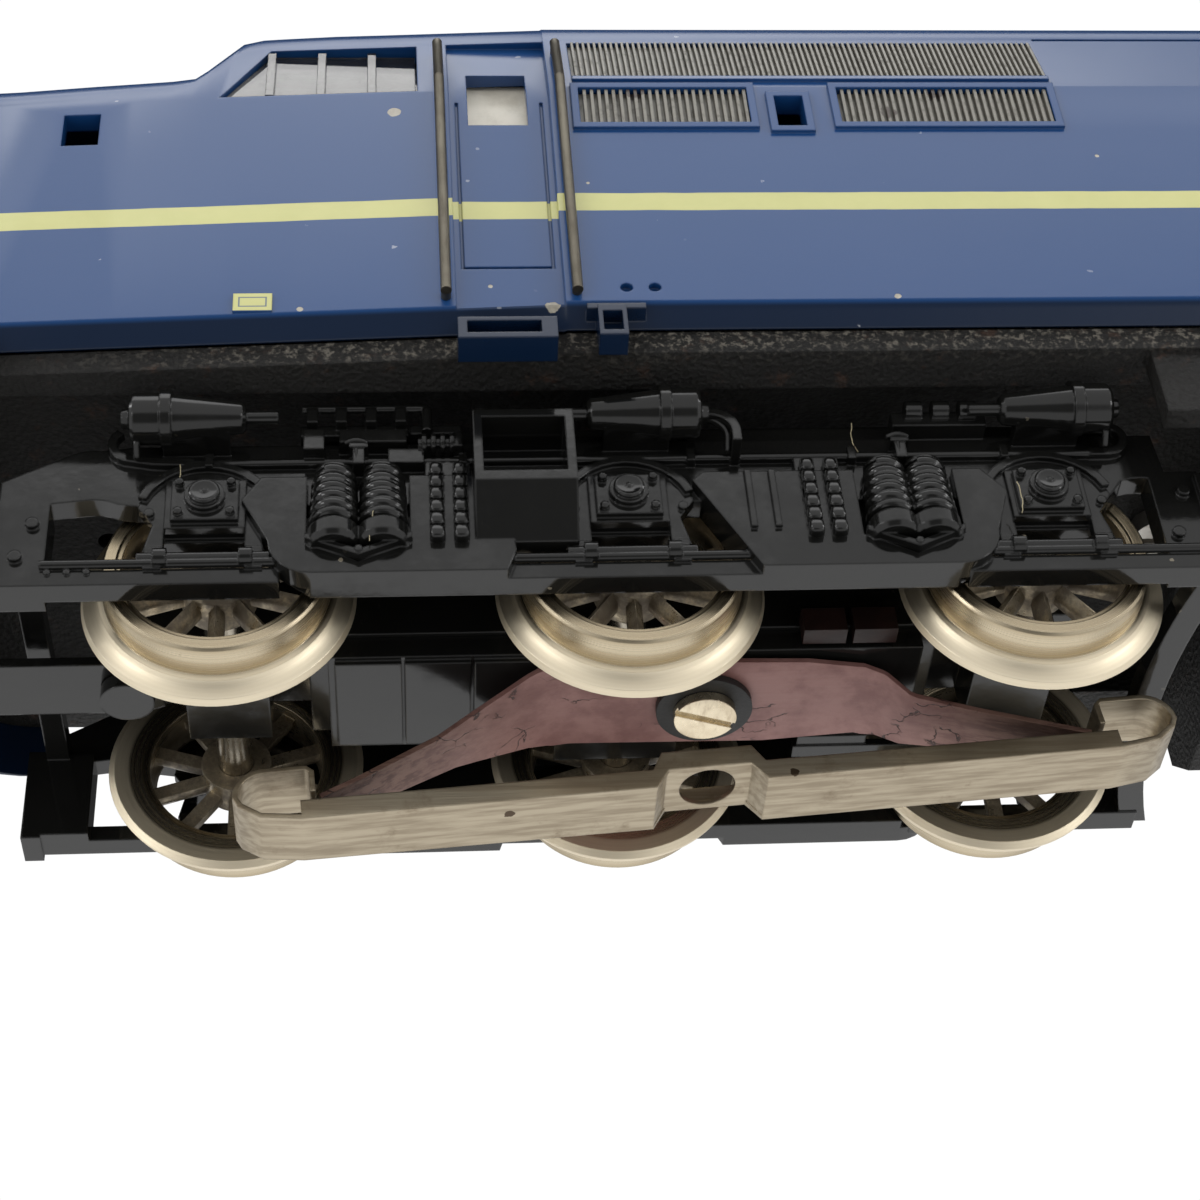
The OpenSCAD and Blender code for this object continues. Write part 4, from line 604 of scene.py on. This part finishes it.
# ---------------------------------------------------------------- rounding of the CAD surfaces
def soften_group(degrees):
    """Modifier that joins the CAD faces and smooths every edge flatter than the given angle."""
    group = bpy.data.node_groups.new(f"soften_{degrees}", "GeometryNodeTree")
    group.interface.new_socket("Geometry", in_out="INPUT", socket_type="NodeSocketGeometry")
    group.interface.new_socket("Geometry", in_out="OUTPUT", socket_type="NodeSocketGeometry")

    def node(kind, **settings):
        made = group.nodes.new(kind)
        for key, value in settings.items():
            setattr(made, key, value)
        return made

    entry = node("NodeGroupInput")
    leave = node("NodeGroupOutput")
    forget = node("GeometryNodeRemoveAttribute")
    forget.inputs["Name"].default_value = "custom_normal"
    weld = node("GeometryNodeMergeByDistance")
    weld.inputs["Distance"].default_value = 2e-6
    smooth = node("GeometryNodeSetShadeSmooth", domain="FACE")
    sharp = node("GeometryNodeSetShadeSmooth", domain="EDGE")
    sharp.inputs["Shade Smooth"].default_value = False
    angle = node("GeometryNodeInputMeshEdgeAngle")
    over = node("ShaderNodeMath", operation="GREATER_THAN")
    over.inputs[1].default_value = math.radians(degrees)
    links = group.links
    links.new(entry.outputs[0], forget.inputs["Geometry"])
    links.new(forget.outputs["Geometry"], weld.inputs["Geometry"])
    links.new(weld.outputs["Geometry"], smooth.inputs["Geometry"])
    links.new(smooth.outputs["Geometry"], sharp.inputs["Geometry"])
    links.new(angle.outputs["Unsigned Angle"], over.inputs[0])
    links.new(over.outputs[0], sharp.inputs["Selection"])
    links.new(sharp.outputs["Geometry"], leave.inputs[0])
    return group


SOFTEN = soften_group(32)
for cad_object in nodes.values():
    cad_object.modifiers.new("soften", "NODES").node_group = SOFTEN


# ---------------------------------------------------------------- mesh building
def ring_of_verts(bm, centre, side, other, radius, count):
    """Vertices of a circle in the plane of the unit vectors side and other."""
    turns = [2 * math.pi * k / count for k in range(count)]
    return [bm.verts.new(centre + (side * math.cos(a) + other * math.sin(a)) * radius) for a in turns]


def sweep(bm, path, radius, sides=10):
    """Round bar along path, in millimetres. radius is one number or one for each point."""
    points = [Vector(p) for p in path]
    count = len(points)
    radii = radius if isinstance(radius, (list, tuple)) else [radius] * count
    rings = []
    normal = None
    for i, point in enumerate(points):
        along = points[min(i + 1, count - 1)] - points[max(i - 1, 0)]
        along.normalize()
        if normal is None:
            normal = along.orthogonal().normalized()
        normal = (normal - along * normal.dot(along)).normalized()
        other = along.cross(normal)
        rings.append(ring_of_verts(bm, point, normal, other, radii[i], sides))
    for ring, following in zip(rings, rings[1:]):
        for k in range(sides):
            bm.faces.new((ring[k], ring[(k + 1) % sides], following[(k + 1) % sides], following[k]))
    bm.faces.new(list(reversed(rings[0])))
    bm.faces.new(rings[-1])


def turned(bm, profile, origin, axis, steps=24):
    """Lathe part: profile lists (radius, distance along axis) from origin."""
    axis = Vector(axis).normalized()
    side = axis.orthogonal().normalized()
    other = axis.cross(side)
    origin = Vector(origin)
    rings = []
    for radius, along in profile:
        centre = origin + axis * along
        if radius < 1e-6:
            rings.append([bm.verts.new(centre)])
            continue
        rings.append(ring_of_verts(bm, centre, side, other, radius, steps))
    for lower, upper in zip(rings, rings[1:]):
        for k in range(steps):
            corners = [lower[k % len(lower)], lower[(k + 1) % len(lower)]]
            corners += [upper[(k + 1) % len(upper)], upper[k % len(upper)]]
            unique = list(dict.fromkeys(corners))
            if len(unique) > 2:
                bm.faces.new(unique)
    if len(rings[0]) > 1:
        bm.faces.new(list(reversed(rings[0])))
    if len(rings[-1]) > 1:
        bm.faces.new(rings[-1])


def block(bm, low, high, rounding):
    """Box between two corners with rounded edges."""
    low, high = Vector(low), Vector(high)
    made = bmesh.ops.create_cube(bm, size=1)
    for vert in made["verts"]:
        vert.co = Vector(low[i] + (vert.co[i] + 0.5) * (high[i] - low[i]) for i in range(3))
    edges = list(dict.fromkeys(e for v in made["verts"] for e in v.link_edges))
    bmesh.ops.bevel(bm, geom=edges, offset=rounding, segments=3, affect="EDGES", profile=0.5)


def finish_piece(name, bm, material, body):
    """Turns a mesh in millimetres into a smooth-shaded piece that rides on a CAD body."""
    bmesh.ops.recalc_face_normals(bm, faces=bm.faces)
    bm.transform(Matrix.Scale(MM, 4))
    mesh = bpy.data.meshes.new(name)
    bm.to_mesh(mesh)
    bm.free()
    mesh.polygons.foreach_set("use_smooth", [True] * len(mesh.polygons))
    mesh.set_sharp_from_angle(angle=math.radians(38))
    piece = bpy.data.objects.new(name, mesh)
    bpy.context.scene.collection.objects.link(piece)
    paint(piece, MATERIALS[material])
    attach(piece, body)


BOGIES = {
    "front": ("pickup_bogie", Matrix.Translation((-BOGIE_X / MM, 0, 0))),
    "rear": ("motor_bogie", Matrix.Translation((BOGIE_X / MM, 0, 0)) @ Matrix.Rotation(math.pi, 4, "Z")),
}


def bogie_pieces(name, build, material="bogie_black", both_sides=True):
    """Makes what build() draws on the near side of a bogie, on both bogies and as a rule on both sides."""
    for end, (body, place) in BOGIES.items():
        bm = bmesh.new()
        build(bm)
        if both_sides:
            twin = bmesh.ops.duplicate(bm, geom=bm.verts[:] + bm.edges[:] + bm.faces[:])["geom"]
            verts = [g for g in twin if isinstance(g, bmesh.types.BMVert)]
            bmesh.ops.scale(bm, vec=(1, -1, 1), verts=verts)
        bm.transform(place)
        finish_piece(f"{end}_{name}", bm, material, body)


# ---------------------------------------------------------------- side frame fittings
# Millimetres from the bogie's middle, nose end at minus x and the near side at minus y.
SPRING_Y = -12.35
SPRINGS_X = (-15.75, -13.2, 13.7, 15.9)
SPRING_LOW, SPRING_HIGH = 6.2, 10.1
SPRING_TURNS = 5.2
SPRING_WIRE = 0.335
SPRING_FOOT_REACH, SPRING_TAPER = 1.04, 0.16
SNUBBERS_X = (-9.75, 10.15)
SNUBBER_HALF_GAP = 0.63
SNUBBER_FOOT_Z = 5.12
BEAD_STEP, BEAD_GAP, BEADS = 0.9, 0.05, 6
BEAD_FRONT_Y, BEAD_BACK_Y = -13.12, -12.1
BRACKETS_X = (-14.6, 14.7)
PIPE_TOP_Z, PIPE_BEND = 13.25, 1.5
PIPES_X = ((3.9, 1.5), (-24.9, -1.3), (24.9, 1.3))    # start and sideways reach
AXLEBOXES_X = (-22.5, -0.2, 22.5)
AXLEBOX_Z = 8.4
COVER_HALF_WIDTH, COVER_HALF_HEIGHT = 1.35, 1.05
OUTWARDS = (0, -1, 0)


def coil_springs(bm):
    """Bogie springs: wire helices, a little wider at the foot."""
    steps_per_turn = 20
    start_angle = 0.8
    rise = SPRING_HIGH - SPRING_LOW - 0.55
    last = int(SPRING_TURNS * steps_per_turn)
    for x in SPRINGS_X:
        path = []
        for k in range(last + 1):
            share = k / (SPRING_TURNS * steps_per_turn)
            turn = 2 * math.pi * k / steps_per_turn + start_angle
            reach = SPRING_FOOT_REACH - SPRING_TAPER * share
            height = SPRING_LOW + 0.3 + rise * share
            path.append((x + reach * math.cos(turn), SPRING_Y - reach * math.sin(turn), height))
        sweep(bm, path, SPRING_WIRE)


def snubber_beads(bm):
    """Twin columns of rounded beads beside the springs, narrower towards the top."""
    for x in SNUBBERS_X:
        for side in (-1, 1):
            for k in range(BEADS):
                foot = SNUBBER_FOOT_Z + BEAD_STEP * k
                middle = x + SNUBBER_HALF_GAP * side
                half_width = 0.40 - 0.01 * k
                low = (middle - half_width, BEAD_FRONT_Y, foot)
                high = (middle + half_width, BEAD_BACK_Y, foot + BEAD_STEP - BEAD_GAP)
                block(bm, low, high, rounding=0.22)


def wire_brackets(bm):
    """T brackets that hold the pipe above each pair of springs."""
    for x in BRACKETS_X:
        sweep(bm, [(x, -12.75, 10.6), (x, -12.85, 11.9)], 0.13, 8)
        half_width, arch = 0.62, 0.18
        shares = (-1, -0.6, -0.2, 0.2, 0.6, 1)
        bow = [(x + half_width * u, -12.95, 12.0 + arch * (1 - u * u)) for u in shares]
        sweep(bm, bow, [0.12, 0.16, 0.2, 0.2, 0.16, 0.12], 8)


def pipe_bends(bm):
    """Thin pipes that leave the brake cylinders and turn down to the long air pipe."""
    for x, reach in PIPES_X:
        bend = []
        for degrees in range(0, 95, 12):
            a = math.radians(degrees)
            bend.append((x + reach * math.sin(a), -13.3, PIPE_TOP_Z - PIPE_BEND * (1 - math.cos(a))))
        foot_x = bend[-1][0]
        bend.append((foot_x, -12.6, 11.5))
        sweep(bm, bend, 0.2, 8)


def axlebox_bolts(bm):
    """Hexagon bolt heads at the corners of each axlebox cover, and the round cap in its middle."""
    bolt_head = [(0.25, 0), (0.25, 0.22), (0.14, 0.3), (0, 0.32)]
    cap = [(0.82, 0), (0.82, 0.12), (0.70, 0.2), (0.58, 0.14), (0.2, 0.14), (0.12, 0.22), (0, 0.24)]
    for x in AXLEBOXES_X:
        for up in (-COVER_HALF_HEIGHT, COVER_HALF_HEIGHT):
            for across in (-COVER_HALF_WIDTH, COVER_HALF_WIDTH):
                turned(bm, bolt_head, (x + across, -12.7, AXLEBOX_Z + up), OUTWARDS, steps=6)
        turned(bm, cap, (x, -12.98, AXLEBOX_Z + 0.1), OUTWARDS)


def dust_fibres(bm):
    """A few stray hairs caught on the frame."""
    source = random.Random(11)
    starts = (
        (-13.9, -13.3, 4.6),
        (6.0, -12.4, 12.6),
        (-24.0, -12.3, 9.0),
        (20.5, -13.2, 6.0),
        (12.6, -12.2, 11.6),
    )
    links, link_length = 9, 0.22
    for start in starts:
        place = Vector(start)
        heading = Vector((source.uniform(-0.4, 0.4), -0.15, 1)).normalized()
        path = [place.copy()]
        for _ in range(links):
            sway = Vector((source.uniform(-0.3, 0.3), 0, source.uniform(-0.2, 0.2)))
            heading = (heading + sway).normalized()
            place = place + heading * link_length
            path.append(place.copy())
        sweep(bm, path, 0.028, 5)


bogie_pieces("coil_springs", coil_springs)
bogie_pieces("snubber_beads", snubber_beads)
bogie_pieces("wire_brackets", wire_brackets)
bogie_pieces("pipe_bends", pipe_bends)
bogie_pieces("axlebox_bolts", axlebox_bolts)
bogie_pieces("dust_fibres", dust_fibres, material="lint", both_sides=False)


# ---------------------------------------------------------------- light, floor and camera
def studio_world():
    """Pale surroundings: bright in front and nearly overhead, dim round the camera and behind, with
    four small bright windows for glints. What is seen directly is plain white."""
    world = bpy.data.worlds.new("studio")
    bpy.context.scene.world = world
    world.use_nodes = True
    tree = world.node_tree
    tree.nodes.clear()

    def node(kind, settings=None, **inputs):
        made = tree.nodes.new(kind)
        for key, value in (settings or {}).items():
            setattr(made, key, value)
        for key, value in inputs.items():
            put(made.inputs[key.replace("_", " ")], value)
        return made

    def put(socket, value):
        if isinstance(value, bpy.types.NodeSocket):
            tree.links.new(value, socket)
        else:
            socket.default_value = value

    def ramp(value, low, high, gain):
        """0 at low and gain at high; low may be the greater of the two."""
        made = node("ShaderNodeMapRange", {"interpolation_type": "SMOOTHSTEP"})
        ends = (0.0, gain) if low < high else (gain, 0.0)
        for socket, setting in zip(made.inputs, (value, min(low, high), max(low, high), *ends)):
            put(socket, setting)
        return made.outputs[0]

    def total(a, b):
        made = node("ShaderNodeMath", {"operation": "ADD"})
        put(made.inputs[0], a)
        put(made.inputs[1], b)
        return made.outputs[0]

    def both(a, b):
        made = node("ShaderNodeMath", {"operation": "MULTIPLY"})
        put(made.inputs[0], a)
        put(made.inputs[1], b)
        return made.outputs[0]

    def towards(way):
        """Cosine of the angle between the looked-up direction and way."""
        made = node("ShaderNodeVectorMath", {"operation": "DOT_PRODUCT"})
        put(made.inputs[0], direction)
        put(made.inputs[1], tuple(Vector(way).normalized()))
        return made.outputs["Value"]

    direction = node("ShaderNodeTexCoord").outputs["Generated"]
    axes = node("ShaderNodeSeparateXYZ", Vector=direction).outputs
    y, z = axes[1], axes[2]
    behind_and_high = both(ramp(z, 0.15, 0.6, 1.0), ramp(y, -0.12, 0.02, -0.78))
    round_the_camera = ramp(towards((-0.08, -0.75, -0.65)), 0.88, 0.97, -0.66)
    in_front_and_high = both(ramp(y, -0.30, -0.50, 1.0), ramp(z, 0.68, 0.73, 1.20))
    nearly_overhead = both(ramp(y, -0.04, -0.14, 1.0), ramp(z, 0.91, 0.97, 2.30))
    behind_and_low = both(ramp(y, 0.25, 0.55, 1.0), ramp(z, -0.20, -0.55, 0.35))
    light = 0.82
    for change in (behind_and_high, round_the_camera, in_front_and_high, nearly_overhead, behind_and_low):
        light = total(light, change)
    for window in ((-0.80, -0.36, 0.48), (0.82, -0.30, 0.49), (-0.78, -0.60, -0.12), (0.80, -0.55, -0.12)):
        light = total(light, ramp(towards(window), 0.990, 0.994, 6.0))
    path = node("ShaderNodeLightPath").outputs
    light = both(light, total(1.0, both(path["Is Diffuse Ray"], 0.5)))
    seen = node("ShaderNodeBackground", Color=(1, 1, 1, 1), Strength=1.02)
    felt = node("ShaderNodeBackground", Color=(1, 1, 1, 1), Strength=light)
    pick = node("ShaderNodeMixShader", Fac=path["Is Camera Ray"])
    put(pick.inputs[1], felt.outputs[0])
    put(pick.inputs[2], seen.outputs[0])
    node("ShaderNodeOutputWorld", Surface=pick.outputs[0])


def pale_floor():
    """Floor just under the pickup shoe, seen only from above: the camera looks up from below it."""
    mesh = bpy.data.meshes.new("floor")
    half = 1.5
    z = cad_box[0].z - 0.3 * MM
    corners = [(-half, -half, z), (half, -half, z), (half, half, z), (-half, half, z)]
    mesh.from_pydata(corners, [], [(0, 1, 2, 3)])
    floor = bpy.data.objects.new("floor", mesh)
    bpy.context.scene.collection.objects.link(floor)
    look = Look("floor_white")
    tone = look.mix(look.noise(40, 3), (0.80, 0.80, 0.79, 1), (0.84, 0.84, 0.83, 1))
    look.set(Base_Color=tone, Roughness=0.7)
    under = look.add("ShaderNodeNewGeometry").outputs["Backfacing"]
    clear = look.add("ShaderNodeBsdfTransparent")
    pick = look.add("ShaderNodeMixShader", Fac=under)
    look.put(pick.inputs[1], look.shader.outputs[0])
    look.put(pick.inputs[2], clear.outputs[0])
    look.put(look.output.inputs["Surface"], pick.outputs[0])
    paint(floor, look.material)
    for ray in ("visible_diffuse", "visible_glossy", "visible_transmission", "visible_shadow"):
        setattr(floor, ray, False)


def photo_camera():
    """Camera below rail height, looking up at the near side of the front bogie."""
    data = bpy.data.cameras.new("camera")
    data.sensor_width = 36
    data.lens = 73.57
    data.clip_start = 0.002
    data.clip_end = 20
    camera = bpy.data.objects.new("camera", data)
    right = Vector((0.9968, -0.0484, -0.0645))
    up = Vector((0.0169, -0.6565, 0.7540))
    up = (up - right * up.dot(right) / right.length_squared).normalized()
    right.normalize()
    back = right.cross(up)
    turn = Matrix((right, up, back)).transposed()
    camera.matrix_world = Matrix.Translation(Vector((-71.080, -106.783, -80.875)) * MM) @ turn.to_4x4()
    bpy.context.scene.collection.objects.link(camera)
    bpy.context.scene.camera = camera


studio_world()
pale_floor()
photo_camera()
bpy.context.scene.view_settings.view_transform = "Standard"
bpy.context.scene.view_settings.look = "None"
